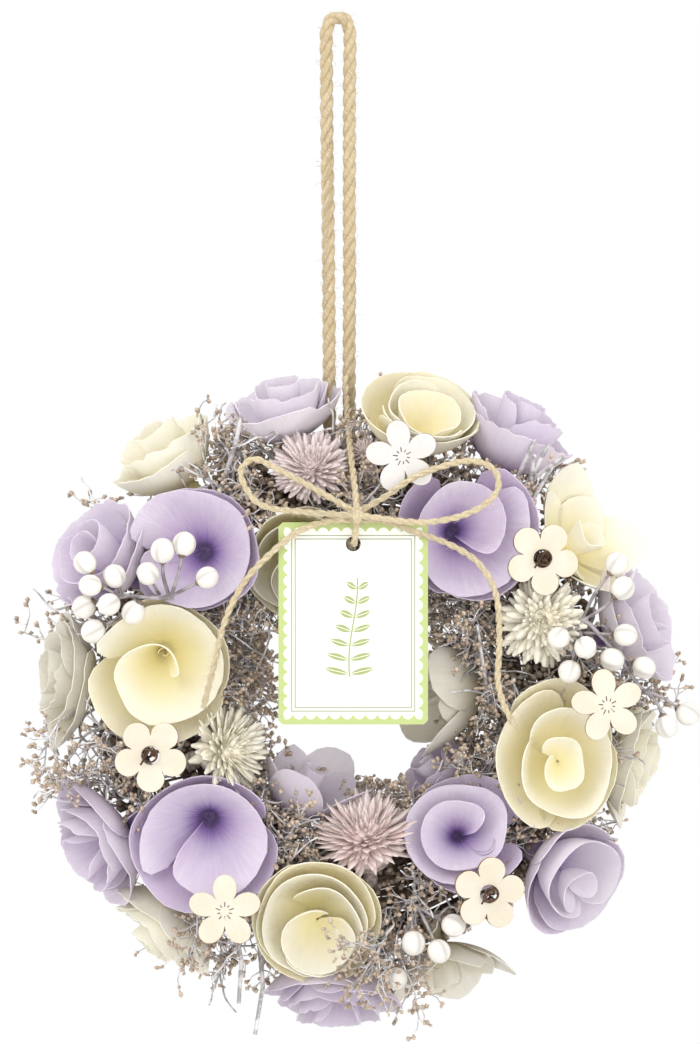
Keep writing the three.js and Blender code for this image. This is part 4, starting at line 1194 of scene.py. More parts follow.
def build_cutout(row, thickness, surface, burnt):
    name = row.name + "_wood"
    outlines = [flower_outline(row.turn, *PETAL_CUTS["hole" if row.hole else "slits"])]
    outlines += [circle_points(CUTOUT.hole_points, row.hole)] if row.hole else slit_outlines(row.turn)
    drawn = bpy.data.curves.new(name, "CURVE")
    drawn.dimensions = "2D"
    drawn.fill_mode = "BOTH"
    drawn.extrude = thickness / 2 - CUTOUT.bevel * MM
    drawn.bevel_depth = CUTOUT.bevel * MM
    drawn.bevel_resolution = 2
    for outline in outlines:
        spline = drawn.splines.new("POLY")
        spline.points.add(len(outline) - 1)
        for point, (x, y) in zip(spline.points, outline):
            point.co = (x * MM, y * MM, 0, 1)
        spline.use_cyclic_u = True
    source = add_object(name + "_curve", drawn)
    bpy.context.view_layer.update()
    made = bpy.data.meshes.new_from_object(source.evaluated_get(bpy.context.evaluated_depsgraph_get()))
    bpy.data.objects.remove(source)
    made.name = name
    made.materials.clear()
    made.materials.append(surface)
    made.materials.append(burnt)
    made.polygons.foreach_set("material_index", [int(abs(p.normal.z) < EDGE_NORMAL) for p in made.polygons])
    made.transform(cutout_matrix(row))
    return add_object(name, made)


# The wire, in millimetres: its foot under the ring's face, its knee over it, its gap to the wood, the
# tail of its curl, and how far the curl comes forward
WIRE = Values(
    foot=-3, knee=9, flat_gap=0.8, curl_gap=0.9, tail=3.5, tail_front=1.2, forward=2.2,
    sides=8,
)
CURL = Values(radius=2.9, inner=0.55, turns=1.2, points=20)


def build_wire(row, thickness, diameter, material):
    """The brown wire: up from the ring, and flat behind the wood or curled in front of its hole."""
    matrix = cutout_matrix(row)
    half = thickness / MM / 2
    route = [seat(*row.seat, WIRE.foot), seat(*row.seat, WIRE.knee)]
    # The places are in the wood's own frame, in millimetres
    if row.hole:
        front = half + WIRE.curl_gap
        places = [(0, 0, -9), (0, 0, -2), (0.4, 0, front)]
        for i in range(CURL.points):
            share = i / (CURL.points - 1)
            angle = share * CURL.turns * TAU
            out = CURL.radius * (CURL.inner + (1 - CURL.inner) * share)
            places.append((*spoke(angle, out), front + WIRE.forward * share))
        places.append((-WIRE.tail, -WIRE.tail, front + WIRE.tail_front))
    else:
        back = half + WIRE.flat_gap
        places = [(-6, 0, -7), (-3, 0, -back), (5, 0, -back)]
    route += [matrix @ Vector([value * MM for value in at]) for at in places]
    skeleton = Skeleton()
    skeleton.stem(smooth_route(route, 4), diameter / 2, diameter / 2)
    return grow(row.name + "_twist", skeleton, None, material, WIRE.sides)


# Berry sprays: name, seat, forks, and each berry's fork and place
BERRY_SPRAYS = (
    ("berry_spray_left", (297, 16), ((-62, -46, -216), (-84, -43, -215)), (
        (1, (-94, -43, -203)), (1, (-92, -46, -211.5)), (1, (-83, -44, -208)), (1, (-94.5, -41, -219.5)),
        (1, (-85, -47, -218.5)), (1, (-76, -45, -221.5)), (1, (-91, -43, -228.5)),
        (0, (-70.5, -48, -207)), (0, (-57, -48, -196)), (0, (-65, -49, -198.5)),
        (0, (-48.5, -47, -208.5)),
    )),
    ("berry_spray_right", (80, 12), ((91, -38, -224.5), (114, -36, -251)), (
        (0, (106, -38, -212.5)), (0, (104, -36, -203.5)), (0, (82, -46, -231)), (0, (92, -46, -234.5)),
        (0, (107, -41, -230)), (0, (102, -42.5, -239)), (0, (86, -45, -243.5)), (0, (114, -39, -242)),
        (1, (130.5, -34, -259.5)), (1, (122.5, -37, -264)),
    )),
    ("berry_spray_low", (166, 10), ((30, -38, -331),), (
        (0, (28, -42, -344.5)), (0, (37.5, -43, -347.5)), (0, (43, -42, -338)), (0, (22, -36, -358)),
    )),
)
BERRY = Values(sides=18, rows=12, cleft=0.07, pole=0.002, tall=1.04, seam=0.55, size=(0.94, 1.04))
# The twig of a spray and the thinner stems on it: radii, foot and knee in millimetres, and how far the
# stems start back from the fork
BERRY_TWIG = Values(
    twig=1.1, stem=0.75, taper=0.8, foot=-3, knee=12, stray=0.4, stem_stray=1.8,
    back=0.02, next_back=0.07, sides=6,
)
HUSK = Values(rings=((0.12, -1.25), (0.34, -1.06), (0.42, -0.9), (0.2, -0.86)), sides=7)


def berry_template(skin, husk):
    """A three-lobed berry of one unit radius with a small dry husk at its foot."""
    sides, rows = BERRY.sides, BERRY.rows
    points, seams = [], []
    for j in range(rows + 1):
        polar = math.pi * j / rows
        for i in range(sides):
            angle = i / sides * TAU
            groove = max(0, math.cos(3 * angle)) ** 8 * math.sin(polar)
            out = math.sin(polar) * (1 - BERRY.cleft * groove) + (BERRY.pole if j in (0, rows) else 0)
            points.append((*spoke(angle, out), -math.cos(polar) * BERRY.tall))
            seams.append(groove * BERRY.seam)
    faces = []
    for j in range(rows):
        for i in range(sides):
            low, beside = j * sides + i, j * sides + (i + 1) % sides
            faces.append((low, beside, beside + sides, low + sides))
    collar, collar_faces = lathe(HUSK.rings, HUSK.sides)
    kinds = [0] * len(faces) + [1] * len(collar_faces)
    faces += [tuple(k + len(points) for k in face) for face in collar_faces]
    points += [tuple(p) for p in collar]
    seams += [0.0] * len(collar)
    return template("berry", points, faces, [skin, husk], kinds, seam=seams)


def build_spray(row, diameter, berry, stem_material):
    name, seat_at, forks, berries = row
    rng = random.Random(name)
    forks = [Vector(metres(at)) for at in forks]
    knee = seat(*seat_at, BERRY_TWIG.knee)
    thin, twig = BERRY_TWIG.stem * MM, BERRY_TWIG.twig * MM
    skeleton = Skeleton()
    route = smooth_route([seat(*seat_at, BERRY_TWIG.foot), knee, *forks], 6)
    skeleton.stem([p + jitter(rng, BERRY_TWIG.stray * MM) for p in route], twig, thin)
    for i, (fork, at) in enumerate(berries):
        at = Vector(metres(at))
        before = forks[fork - 1] if fork else knee
        start = forks[fork].lerp(before, BERRY_TWIG.back + BERRY_TWIG.next_back * (i % 8))
        middle = start.lerp(at, 0.5) + jitter(rng, BERRY_TWIG.stem_stray * MM)
        away = (at - middle).normalized()
        stem = smooth_route([start, middle, at - away * diameter / 2], 4)
        skeleton.stem(stem, thin, thin * BERRY_TWIG.taper)
        skeleton.point(at, 0, diameter / 2 * rng.uniform(*BERRY.size), away, jitter(rng, 1))
    return grow(name + "_berries", skeleton, berry, stem_material, BERRY_TWIG.sides)


# Cords: the routes that rope and twine run along
ROPE_ROUTE = tuple(metres(at) for at in (
    (2.6, -3.3, -196.2), (3, -14.6, -189.8), (3.4, -19, -177.5), (3.8, -15.4, -166.4), (4.1, -8, -159.6),
    (4.2, -1.8, -150), (4.2, 0, -136), (4.3, 0, -104), (4.3, 0, -72), (4.3, 0, -40), (4.4, 0, -14),
    (4.3, 0, -2.5), (3, 0, 1.6), (0, 0, 2.9), (-3, 0, 1.6), (-4.3, 0, -2.5), (-4.4, 0, -14),
    (-4.2, 0, -40), (-3.8, 0, -72), (-3.5, 0, -104), (-3.3, 0, -136), (-3.3, 2, -150), (-3.2, 8, -159.6),
    (-3.1, 15.4, -166.4), (-3, 19, -177.5), (-2.9, 14.6, -189.8), (-2.8, 4.5, -196),
))
# Each row: name, where the far end goes, how it lies, and its route
TWINES = (
    ("twine_strand", "knot", "taut", (
        (2.6, -4.3, -133), (3, -6.5, -141), (3.8, -19, -152), (5, -34, -164), (6.4, -46, -176),
        (7, -51, -184),
    )),
    ("twine_loop_left", "knot", "hanging", (
        (6, -50, -184), (-7, -49.5, -176.5), (-22, -48, -168.5), (-31.5, -47, -164.5),
        (-36, -46.5, -168.5), (-34, -47.5, -175.5), (-28.5, -49.5, -181.5), (-14, -52.5, -184),
        (6, -53.2, -185.5),
    )),
    ("twine_loop_right", "knot", "hanging", (
        (8, -50, -184), (17.5, -49.8, -178.5), (27, -49.8, -172), (38, -50, -167.5), (50, -49, -165.2),
        (58, -48.5, -168.5), (59.5, -48.5, -175), (55, -49, -181), (46, -51, -185.5), (32, -53, -188),
        (8, -53.4, -185.5),
    )),
    ("twine_tail_left", "bare", "hanging", (
        (6, -49.9, -187), (-3, -49.9, -187.5), (-14, -49.9, -191), (-27.5, -48.8, -202),
        (-35, -46.5, -210.5), (-41.5, -45.8, -223.5), (-46, -47.2, -241), (-50, -47.4, -257),
    )),
    ("twine_tail_right", "bare", "hanging", (
        (8, -49.9, -187), (17.5, -49.9, -187.5), (27, -49.9, -191), (42, -49, -196.5), (52, -48, -203),
        (58.5, -47.2, -214), (60, -46.4, -231), (59.5, -46.8, -247), (61.5, -47.2, -255.5),
        (65.5, -47.2, -263.5),
    )),
)
TAG_STRING = tuple(metres(at) for at in (
    (7, -51.5, -187), (6.3, -50.4, -194), (6, -47, -196), (5.9, -44, -194.6), (6.2, -44.4, -187.6),
    (7, -49, -184.6),
))
KNOT = Values(centre=(7, -51.4, -185.5), radius=2.3, flattened=0.8, points=22)
# Tilt of each wrap of the knot from level, in degrees, and its shift up in millimetres
KNOT_WRAPS = ((70, 0.0), (96, 1.1), (52, -1.1), (12, 0.4))
# Steps of a smooth cord from each point of its route to the next, and the least distance between two
# points, in metres, so that nothing is divided by zero
ROUTE_STEPS = 6
NEAREST = 0.000001


def smooth_route(points, steps):
    """A smooth line through points, by the centripetal rule, with a few steps from each to the next."""
    points = [Vector(p) for p in points]
    padded = [2 * points[0] - points[1], *points, 2 * points[-1] - points[-2]]
    route = []
    for a, b, c, d in zip(padded, padded[1:], padded[2:], padded[3:]):
        knots = [0.0]
        for p, q in ((a, b), (b, c), (c, d)):
            knots.append(knots[-1] + max((q - p).length, NEAREST) ** 0.5)
        t0, t1, t2, t3 = knots
        for i in range(steps):
            t = t1 + (t2 - t1) * i / steps
            ab = a * ((t1 - t) / (t1 - t0)) + b * ((t - t0) / (t1 - t0))
            bc = b * ((t2 - t) / (t2 - t1)) + c * ((t - t1) / (t2 - t1))
            cd = c * ((t3 - t) / (t3 - t2)) + d * ((t - t2) / (t3 - t2))
            abc = ab * ((t2 - t) / (t2 - t0)) + bc * ((t - t0) / (t2 - t0))
            bcd = bc * ((t3 - t) / (t3 - t1)) + cd * ((t - t1) / (t3 - t1))
            route.append(abc * ((t2 - t) / (t2 - t1)) + bcd * ((t - t1) / (t2 - t1)))
    route.append(points[-1])
    return route


# Loose fibres of a cord: thickness in millimetres, how far their middle and end lean as shares of the
# length, and the least and greatest length as shares
FUZZ = Values(thin=0.05, bow=0.7, lean=0.9, long=(0.4, 1.2))
PLY_SIDES = 8
# Cords: plies, their radius, offset and step as shares of the diameter, twist length in metres, fibres
# on a square metre, and their length as a share
SPIN = {
    "rope": {"plies": 3, "ply": 0.265, "offset": 0.24, "twist": 0.017, "fibres": 160000.0, "fuzz": 1.0},
    "twine": {"plies": 2, "ply": 0.32, "offset": 0.2, "twist": 0.0085, "fibres": 260000.0, "fuzz": 0.8},
}
CORD_STEP = 0.32


def cord_tree():
    """Lays twisted plies along a path, with loose fibres on them."""
    name = "Spun cord"
    if name in bpy.data.node_groups:
        return bpy.data.node_groups[name]
    w, given, result = geometry_tree(name, {
        "Plies": ("Int", 3), "Ply radius": ("Float", 0.001), "Ply offset": ("Float", 0.001),
        "Twist length": ("Float", 0.01), "Step": ("Float", 0.001), "Fibre length": ("Float", 0.002),
        "Fibre density": ("Float", 100000.0), "Material": ("Material",), "Seed": ("Int", 1),
    })
    path = w.add("GeometryNodeMeshToCurve", {"Mesh": given["Geometry"]}).outputs["Curve"]
    path = w.add("GeometryNodeResampleCurve", {"Curve": path, "Length": given["Step"]}, mode="LENGTH")
    copies = w.add("GeometryNodeDuplicateElements", {
        "Geometry": path.outputs["Curve"], "Amount": given["Plies"],
    }, domain="SPLINE")
    along = w.add("GeometryNodeSplineParameter").outputs
    turns = w.math("DIVIDE", along["Length"], given["Twist length"])
    share = w.math("DIVIDE", copies.outputs["Duplicate Index"], given["Plies"])
    angle = w.times(w.plus(turns, share), TAU)
    normal = w.add("GeometryNodeInputNormal").outputs["Normal"]
    tangent = w.add("GeometryNodeInputTangent").outputs["Tangent"]
    beside = w.vector("CROSS_PRODUCT", tangent, normal)
    across = w.vector(
        "ADD", w.scaled(normal, w.math("COSINE", angle)), w.scaled(beside, w.math("SINE", angle))
    )
    plies = w.add("GeometryNodeSetPosition", {
        "Geometry": stored(w, copies.outputs["Geometry"], "along", along["Length"]),
        "Offset": w.scaled(across, given["Ply offset"]),
    }).outputs["Geometry"]
    section = stored(w, circle(w, PLY_SIDES, given["Ply radius"]), "across", along["Factor"])
    tube = swept(w, plies, section)
    spots = w.add("GeometryNodeDistributePointsOnFaces", {
        "Mesh": tube, "Density": given["Fibre density"], "Seed": given["Seed"],
    })
    long = given["Fibre length"]
    end = w.add("ShaderNodeCombineXYZ", {"X": w.times(long, FUZZ.lean), "Z": long}).outputs[0]
    bend = w.add("ShaderNodeCombineXYZ", {"Z": w.times(long, FUZZ.bow)}).outputs[0]
    hair = w.add("GeometryNodeCurveQuadraticBezier", {
        "Resolution": 3, "Start": (0, 0, 0), "Middle": bend, "End": end,
    })
    hair = swept(w, hair.outputs["Curve"], circle(w, 3, FUZZ.thin * MM))
    turn = w.add("FunctionNodeRandomValue", {
        "Seed": given["Seed"], "Min": (-1.0, -1.0, -math.pi), "Max": (1.0, 1.0, math.pi),
    }, data_type="FLOAT_VECTOR").outputs[0]
    turned = w.add("FunctionNodeRotateRotation", {
        "Rotation": spots.outputs["Rotation"],
        "Rotate By": w.add("FunctionNodeEulerToRotation", {"Euler": turn}).outputs["Rotation"],
    }, rotation_space="LOCAL")
    scale = w.add("FunctionNodeRandomValue", {
        "Seed": given["Seed"], 2: FUZZ.long[0], 3: FUZZ.long[1],
    }, data_type="FLOAT").outputs[1]
    fuzz = copied(w, spots.outputs["Points"], hair, turned.outputs["Rotation"], scale)
    w.put(result, painted(w, joined(w, tube, fuzz), given["Material"]))
    return w.tree


def build_cord(name, routes, kind, diameter, fuzz, material, closed=False):
    """One cord of twisted plies along each of its routes."""
    spin = SPIN[kind]
    points, edges = [], []
    for route in routes:
        first = len(points)
        points += [tuple(p) for p in route]
        edges += [(k, k + 1) for k in range(first, len(points) - 1)]
        if closed:
            edges.append((len(points) - 1, first))
    values = {
        "Plies": spin["plies"], "Ply radius": diameter * spin["ply"], "Ply offset": diameter * spin["offset"],
        "Twist length": spin["twist"], "Step": diameter * CORD_STEP, "Fibre length": fuzz * spin["fuzz"],
        "Fibre density": spin["fibres"], "Material": material, "Seed": len(points),
    }
    return run_tree(add_object(name, new_mesh(name, points, edges, [])), cord_tree(), values)


def knot_wraps():
    """The closed rounds of twine that make the bow's knot."""
    wraps = []
    for tilt, lift in KNOT_WRAPS:
        turned = Matrix.Rotation(math.radians(tilt), 3, "Y")
        wrap = []
        for k in range(KNOT.points):
            turn = k / KNOT.points * TAU
            x = math.cos(turn) * KNOT.radius * MM
            y = math.sin(turn) * KNOT.radius * KNOT.flattened * MM
            wrap.append(Vector(metres(KNOT.centre)) + turned @ Vector((x, y, lift * MM)))
        wraps.append(wrap)
    return wraps


# The ring of bound twigs
TWIG = Values(
    radius=(0.8, 1.7), taper=0.6, depth=13.6, shallower=0.5, deep_bias=2.5, points=46,
    sweep=(150, 330), twist=(0.1, 0.5), rounds=5, wave=0.8, waves=9, stray=0.25, sides=6,
)
BINDING = Values(turns=22, points=16, radius=0.5, lift=0.7)


def build_ring(twigs, bark):
    rng = random.Random("ring")
    skeleton = Skeleton()
    for i in range(twigs):
        first = rng.uniform(0, 360)
        sweep = rng.uniform(*TWIG.sweep)
        around = i * 360 / twigs * TWIG.rounds
        depth = TWIG.depth * (1 - TWIG.shallower * rng.random() ** TWIG.deep_bias)
        twist = rng.uniform(*TWIG.twist)
        route = []
        for k in range(TWIG.points):
            share = k / (TWIG.points - 1)
            out = depth - RING_TUBE / MM + TWIG.wave * math.sin(TWIG.waves * share + i)
            at = seat(first + sweep * share, around + 360 * twist * share, out)
            route.append(at + jitter(rng, TWIG.stray * MM))
        thick = rng.uniform(*TWIG.radius) * MM
        skeleton.stem(route, thick, thick * TWIG.taper, rng.random())
    binding = []
    total = BINDING.turns * BINDING.points
    for k in range(total):
        share = k / total
        binding.append(seat(360 * share, 360 * share * BINDING.turns, BINDING.lift))
    skeleton.stem([*binding, binding[0]], BINDING.radius * MM, BINDING.radius * MM)
    return grow("ring_twigs", skeleton, None, bark, TWIG.sides)


# Bushy spots: clock angle and its spread, angle round the ring, length in millimetres and sprays
BUSHES = {
    "filler_left": ((338, 8, 65, 34, 9), (285, 10, 95, 34, 5), (282, 14, -75, 34, 9)),
    "filler_low_left": ((268, 6, 78, 46, 16), (212, 10, 80, 40, 8), (262, 8, -75, 32, 5)),
    "filler_low_right": ((176, 16, 84, 36, 10), (150, 10, 80, 34, 6)),
    "filler_right": ((96, 14, 90, 36, 6),),
    "filler_top": ((20, 12, 70, 30, 6), (44, 8, 80, 34, 6)),
}
# Thick silvered straws that stand out of the bunches
STRAWS = {
    "filler_left": (((-45, -12, -178), (-38, -30, -158), (-36, -36, -148)),),
    "filler_low_left": (
        ((-30, -12, -340), (-28, -20, -362), (-31, -22, -380)),
        ((-40, -14, -335), (-36, -26, -352), (-37, -28, -368)),
    ),
    "filler_right": (((58, -14, -260), (55, -30, -245), (52, -36, -226)),),
    "filler_top": (
        ((64, -12, -187), (69.5, -28, -176), (78.5, -34, -159)),
        ((67, -12, -190), (72.5, -26, -180), (81, -31, -165.5)),
        ((61, -12, -184), (66, -26, -174), (73.5, -33, -157)),
        ((66, -14, -176), (73.5, -30, -171), (84, -34, -163.5)),
        ((70, -12, -188), (71.5, -28, -175), (73.5, -36, -163)),
    ),
}
# Filler bunches: name, and the clock angles that each runs between
FILLERS = (
    ("filler_top", 347, 411), ("filler_right", 419, 483), ("filler_low_right", 491, 555),
    ("filler_low_left", 563, 627), ("filler_left", 635, 699),
)
# Sprays that hang in front of the blooms: seat, fork, way and length in millimetres
FRONT_SPRAYS = {
    "filler_low_right": (
        ((170, 20), (21, -38, -338), (-0.5, -0.05, -0.8), 26),
        ((170, 20), (18, -40, -343), (-0.9, -0.1, -0.5), 20),
        ((166, 30), (22, -37, -342), (-0.1, 0.0, -1.0), 28),
    ),
    "filler_low_left": (((222, 40), (-52, -30, -330), (-0.3, 0.0, -0.9), 24),),
    "filler_left": (((272, 60), (-104, -30, -262), (-0.4, -0.1, -0.7), 22),),
}
# Florets: outline of their bell, stray from their stem, and sizes and tones at a tip and packed low, where
# the dark packed tones are painted shade in the gaps by the ring
FLORET = Values(
    bell=((0.08, 0), (0.42, 0.6), (0.16, 1.0)), sides=4, stray=0.9, apart=0.35,
    size=(0.6, 1.15), tone=(0.35, 1), packed_size=(0.9, 1.9), packed_tone=(0, 0.35),
)
# Sprays and tendrils: lengths in millimetres, steps of their routes, how much they bend at each step,
# and stem radii from root to tip
SPRAY = Values(
    steps=6, bend=0.32, stem=(0.5, 0.25), least=4, tip_florets=3,
    side=(6, 13), side_steps=3, side_bend=0.5, side_stem=(0.3, 0.175), side_florets=2,
    forward=0.6, side_turn=1.0, fork=5, fork_steps=2, fork_turn=1.2, fork_stem=(0.225, 0.15),
)
TENDRIL = Values(
    count=60, around=(-80, 100), sideways=0.7, forward=0.5, long=44, steps=12, bend=0.5,
    stem=(0.75, 0.35), least=5, forks=(2, 4, 6), fork=9, fork_steps=3, fork_turn=1.4,
    fork_bend=0.7, fork_stem=(0.5, 0.3),
)
STRAW_STEM = (1.1, 0.9)
# How a bunch is filled: degrees past its ends, angles round the ring for its back, its front and its
# packing, lengths and heights in millimetres, and how far sprays turn from straight out
FILL = Values(
    past_end=4, back=(-130, -45), front=(-70, 112), packed=(-130, 130), packed_high=(0.2, 8),
    long=(20, 38), sideways=0.6, forward=0.35, bush_spread=25, bush_turn=0.5,
    bush_long=(0.7, 1.1), front_turn=0.25,
)
# How far sprays may reach, and the part of the ring's open middle that they stay out of, in metres
REACH = Values(left=-0.126, right=0.134, low=-0.382, front=-0.055, back=0.023)
HOLE = Values(x=(-0.004, 0.036), z=(-0.284, -0.252))
# Edges where no spray stands out past the blooms: first and last clock angle, and millimetres out
BARE_EDGES = ((355, 410, 124), (106, 136, 114), (136, 162, 97))
# Room that the sprays leave free, in millimetres: behind all of the tag's back, right behind the tag,
# about a cut-out's middle, under and over a bloom's bowl, and about its petals and its stalk. A head
# needs a share of its radius
CLEAR = Values(back=2, tag=7, cutout=9, under=5, over=7, petals=0.8, stalk=4.5, head=0.9)


class Clearance:
    """Tells whether a point is free of blooms, heads and the tag, and of the ring's open middle."""

    def __init__(self):
        self.cups = [(stand_of(b), b.radius * MM * max(b.stretch), b.throat) for b in BLOOMS]
        self.balls = [(Vector(metres(row.at)), CLEAR.cutout * MM) for row in CUTOUTS]
        for head in HEADS:
            stand = stand_of(head)
            radius = head.radius * MM
            middle = stand.foot + stand.axis * (stand.height - radius * HEAD_SINK)
            self.balls.append((middle, radius * CLEAR.head))
        self.tag = [Vector(corner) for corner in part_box("card_tag")]

    def reachable(self, at):
        return REACH.left < at.x < REACH.right and at.z > REACH.low and REACH.front < at.y < REACH.back

    def past_bare_edge(self, at):
        away = at - RING_CENTRE
        clock = math.degrees(math.atan2(away.x, away.z))
        out = math.hypot(away.x, away.z) / MM
        return any((clock - first) % 360 < last - first and out > most for first, last, most in BARE_EDGES)

    def in_hole(self, at):
        return HOLE.x[0] < at.x < HOLE.x[1] and HOLE.z[0] < at.z < HOLE.z[1]

    def near_tag(self, at):
        low, high = self.tag
        room = CLEAR.tag if low.x < at.x < high.x and low.z < at.z < high.z else CLEAR.back
        return at.y < high.y + room * MM

    def free(self, at):
        if not self.reachable(at) or self.past_bare_edge(at) or self.near_tag(at) or self.in_hole(at):
            return False
        if any((at - centre).length < radius for centre, radius in self.balls):
            return False
        return not any(in_cup(at, *cup) for cup in self.cups)


def in_cup(at, stand, radius, throat):
    """Whether a point lies inside a bloom, under its throat or just in front of its face."""
    away = at - stand.foot
    rise = away.dot(stand.axis)
    floor = PETAL.foot * stand.height
    if rise < floor - CLEAR.under * MM or rise > stand.height + CLEAR.over * MM:
        return False
    share = min(1, max(0, (rise - floor) / (stand.height - floor)))
    opened = math.sqrt(1 - (1 - share) ** 2)
    middle = (stand.side * throat[0] + stand.up * throat[1]) * (MM * (1 - opened))
    out = (away - stand.axis * rise - middle).length
    return out < max(radius * opened + CLEAR.petals * MM, CLEAR.stalk * MM)


class Bunch:
    """A filler bunch that grows on a skeleton, by the seeded draws of its name."""

    def __init__(self, name, floret):
        self.rng = random.Random(name)
        self.floret = floret
        self.skeleton = Skeleton()

    def route(self, start, aim, length, steps, bend, free):
        """A wandering line of points that stops where it would meet something."""
        route = [start]
        aim = aim.normalized()
        for _ in range(steps):
            aim = (aim + jitter(self.rng, bend)).normalized()
            at = route[-1] + aim * (length / steps)
            if not free(at):
                break
            route.append(at)
        return route

    def stem(self, route, thick, tone=0.5):
        self.skeleton.stem(route, thick[0] * MM, thick[1] * MM, tone)

    def tip_florets(self, route, count):
        rng = self.rng
        tip = route[-1]
        aim = (route[-1] - route[-2]).normalized()
        for k in range(count):
            at = tip.lerp(route[-2], FLORET.apart * k) if k else tip
            turned = (aim + jitter(rng, FLORET.stray)).normalized()
            size = self.floret * rng.uniform(*FLORET.size)
            self.skeleton.point(at, 0, size, turned, jitter(rng, 1), rng.uniform(*FLORET.tone))

    def spray(self, start, aim, length, free):
        """A dried spray: a main stem, side stems all along it, and florets at their ends."""
        rng = self.rng
        main = self.route(start, aim, length, SPRAY.steps, SPRAY.bend, free)
        if len(main) < SPRAY.least:
            return
        self.stem(main, SPRAY.stem)
        for before, fork_at in zip(main[1:], main[2:]):
            forward = (fork_at - before).normalized()
            for _ in range(2):
                turned = (forward * SPRAY.forward + jitter(rng, SPRAY.side_turn)).normalized()
                long = rng.uniform(*SPRAY.side) * MM
                side = self.route(fork_at, turned, long, SPRAY.side_steps, SPRAY.side_bend, free)
                if len(side) < 3:
                    continue
                self.stem(side, SPRAY.side_stem)
                self.tip_florets(side, SPRAY.side_florets)
                turned += jitter(rng, SPRAY.fork_turn)
                long = SPRAY.fork * MM
                fork = self.route(side[1], turned, long, SPRAY.fork_steps, SPRAY.side_bend, free)
                if len(fork) > SPRAY.fork_steps:
                    self.stem(fork, SPRAY.fork_stem)
                    self.tip_florets(fork, SPRAY.side_florets)
        self.tip_florets(main, SPRAY.tip_florets)

    def packing(self, count, reach, free):
        """Florets packed against the ring, dark as painted shade in the gaps."""
        rng = self.rng
        for _ in range(count):
            clock, around = rng.uniform(*reach), rng.uniform(*FILL.packed)
            root = seat(clock, around, rng.uniform(*FILL.packed_high) * rng.random())
            if free(root):
                away = (root - seat(clock, around, -8)).normalized()
                size = self.floret * rng.uniform(*FLORET.packed_size)
                turned = (away + jitter(rng, FLORET.stray)).normalized()
                face, tone = jitter(rng, 1), rng.uniform(*FLORET.packed_tone)
                self.skeleton.point(root, 0, size, turned, face, tone)

    def tendril(self, reach, free):
        """A long bare stem with a few forks."""
        rng = self.rng
        clock, around = rng.uniform(*reach), rng.uniform(*TENDRIL.around)
        start = seat(clock, around, 1)
        away = (seat(clock, around, 10) - start).normalized()
        sideways = rng.uniform(-TENDRIL.sideways, TENDRIL.sideways)
        away += outward(clock + 90) * sideways + Vector((0, -TENDRIL.forward, 0))
        route = self.route(start, away, TENDRIL.long * MM, TENDRIL.steps, TENDRIL.bend, free)
        if len(route) < TENDRIL.least:
            return
        self.stem(smooth_route(route, 2), TENDRIL.stem, rng.random())
        for k in TENDRIL.forks:
            if k < len(route) - 1:
                aim = away.normalized() + jitter(rng, TENDRIL.fork_turn)
                long = TENDRIL.fork * MM
                fork = self.route(route[k], aim, long, TENDRIL.fork_steps, TENDRIL.fork_bend, free)
                if len(fork) > 2:
                    self.stem(fork, TENDRIL.fork_stem, rng.random())


def build_filler(row, settings, clearance, floret, stem_material):
    name, first, last = row
    bunch = Bunch(name, settings.floret)
    rng = bunch.rng
    reach = (first - FILL.past_end, last + FILL.past_end)
    bunch.packing(settings.packing, reach, clearance.free)
    for i in range(settings.sprays):
        clock = reach[0] + (reach[1] - reach[0]) * rng.random()
        around = rng.uniform(*(FILL.back if i % 5 < 2 else FILL.front))
        start = seat(clock, around, 0)
        away = (seat(clock, around, 10) - start).normalized()
        long = rng.uniform(*FILL.long) * MM
        sideways = rng.uniform(-FILL.sideways, FILL.sideways)
        aim = away + outward(clock + 90) * sideways + Vector((0, -FILL.forward, 0))
        bunch.spray(start, aim, long, clearance.free)
    for middle, spread, around, long, count in BUSHES[name]:
        for _ in range(count):
            clock = middle + rng.uniform(-1, 1) * spread
            turn = around + rng.uniform(-FILL.bush_spread, FILL.bush_spread)
            start = seat(clock, turn, 0)
            aim = (seat(clock, turn, 10) - start).normalized() + jitter(rng, FILL.bush_turn)
            bunch.spray(start, aim, long * MM * rng.uniform(*FILL.bush_long), clearance.free)
    for _ in range(TENDRIL.count):
        bunch.tendril(reach, clearance.free)
    for seat_at, fork, way, long in FRONT_SPRAYS.get(name, ()):
        fork = Vector(metres(fork))
        bunch.stem([seat(*seat_at), fork], (SPRAY.stem[0], SPRAY.stem[0]))
        for _ in range(2):
            aim = Vector(way) + jitter(rng, FILL.front_turn)
            bunch.spray(fork, aim, long * MM, clearance.reachable)
    for route in STRAWS.get(name, ()):
        bunch.stem([Vector(metres(at)) for at in route], STRAW_STEM, 1)
    return grow(name + "_sprays", bunch.skeleton, floret, stem_material)


# Stage: the photograph's size in pixels, the width of the camera's sensor, the pixel at the frame's
# origin, and the depth that the scale holds for
IMAGE = (700, 1044)
SENSOR = 36 * MM
AIM = Values(pixel_x=338, pixel_z=21, depth=-0.02)
FLOOR = Values(height=-0.46, half=0.95)
# Soft lights: place, size, and power as a share of the key light's. The front light stands before the
# wreath's middle
LIGHTS = (
    ("key_light", (-0.9, -1.6, 0.9), 1.4, 1), ("fill_light", (1.3, -1.4, -0.1), 1.6, 0.85),
    ("low_light", (0.1, -1.2, -1.0), 1.6, 0.7), ("front_light", None, 0.7, 0.6),
    ("left_light", (-1.5, -0.3, -0.2), 1.2, 0.55), ("right_light", (1.2, -0.7, -0.9), 1.2, 0.75),
    ("top_light", (0.1, -0.25, 1.1), 1.2, 0.55),
)
FRONT_LIGHT = -2.4


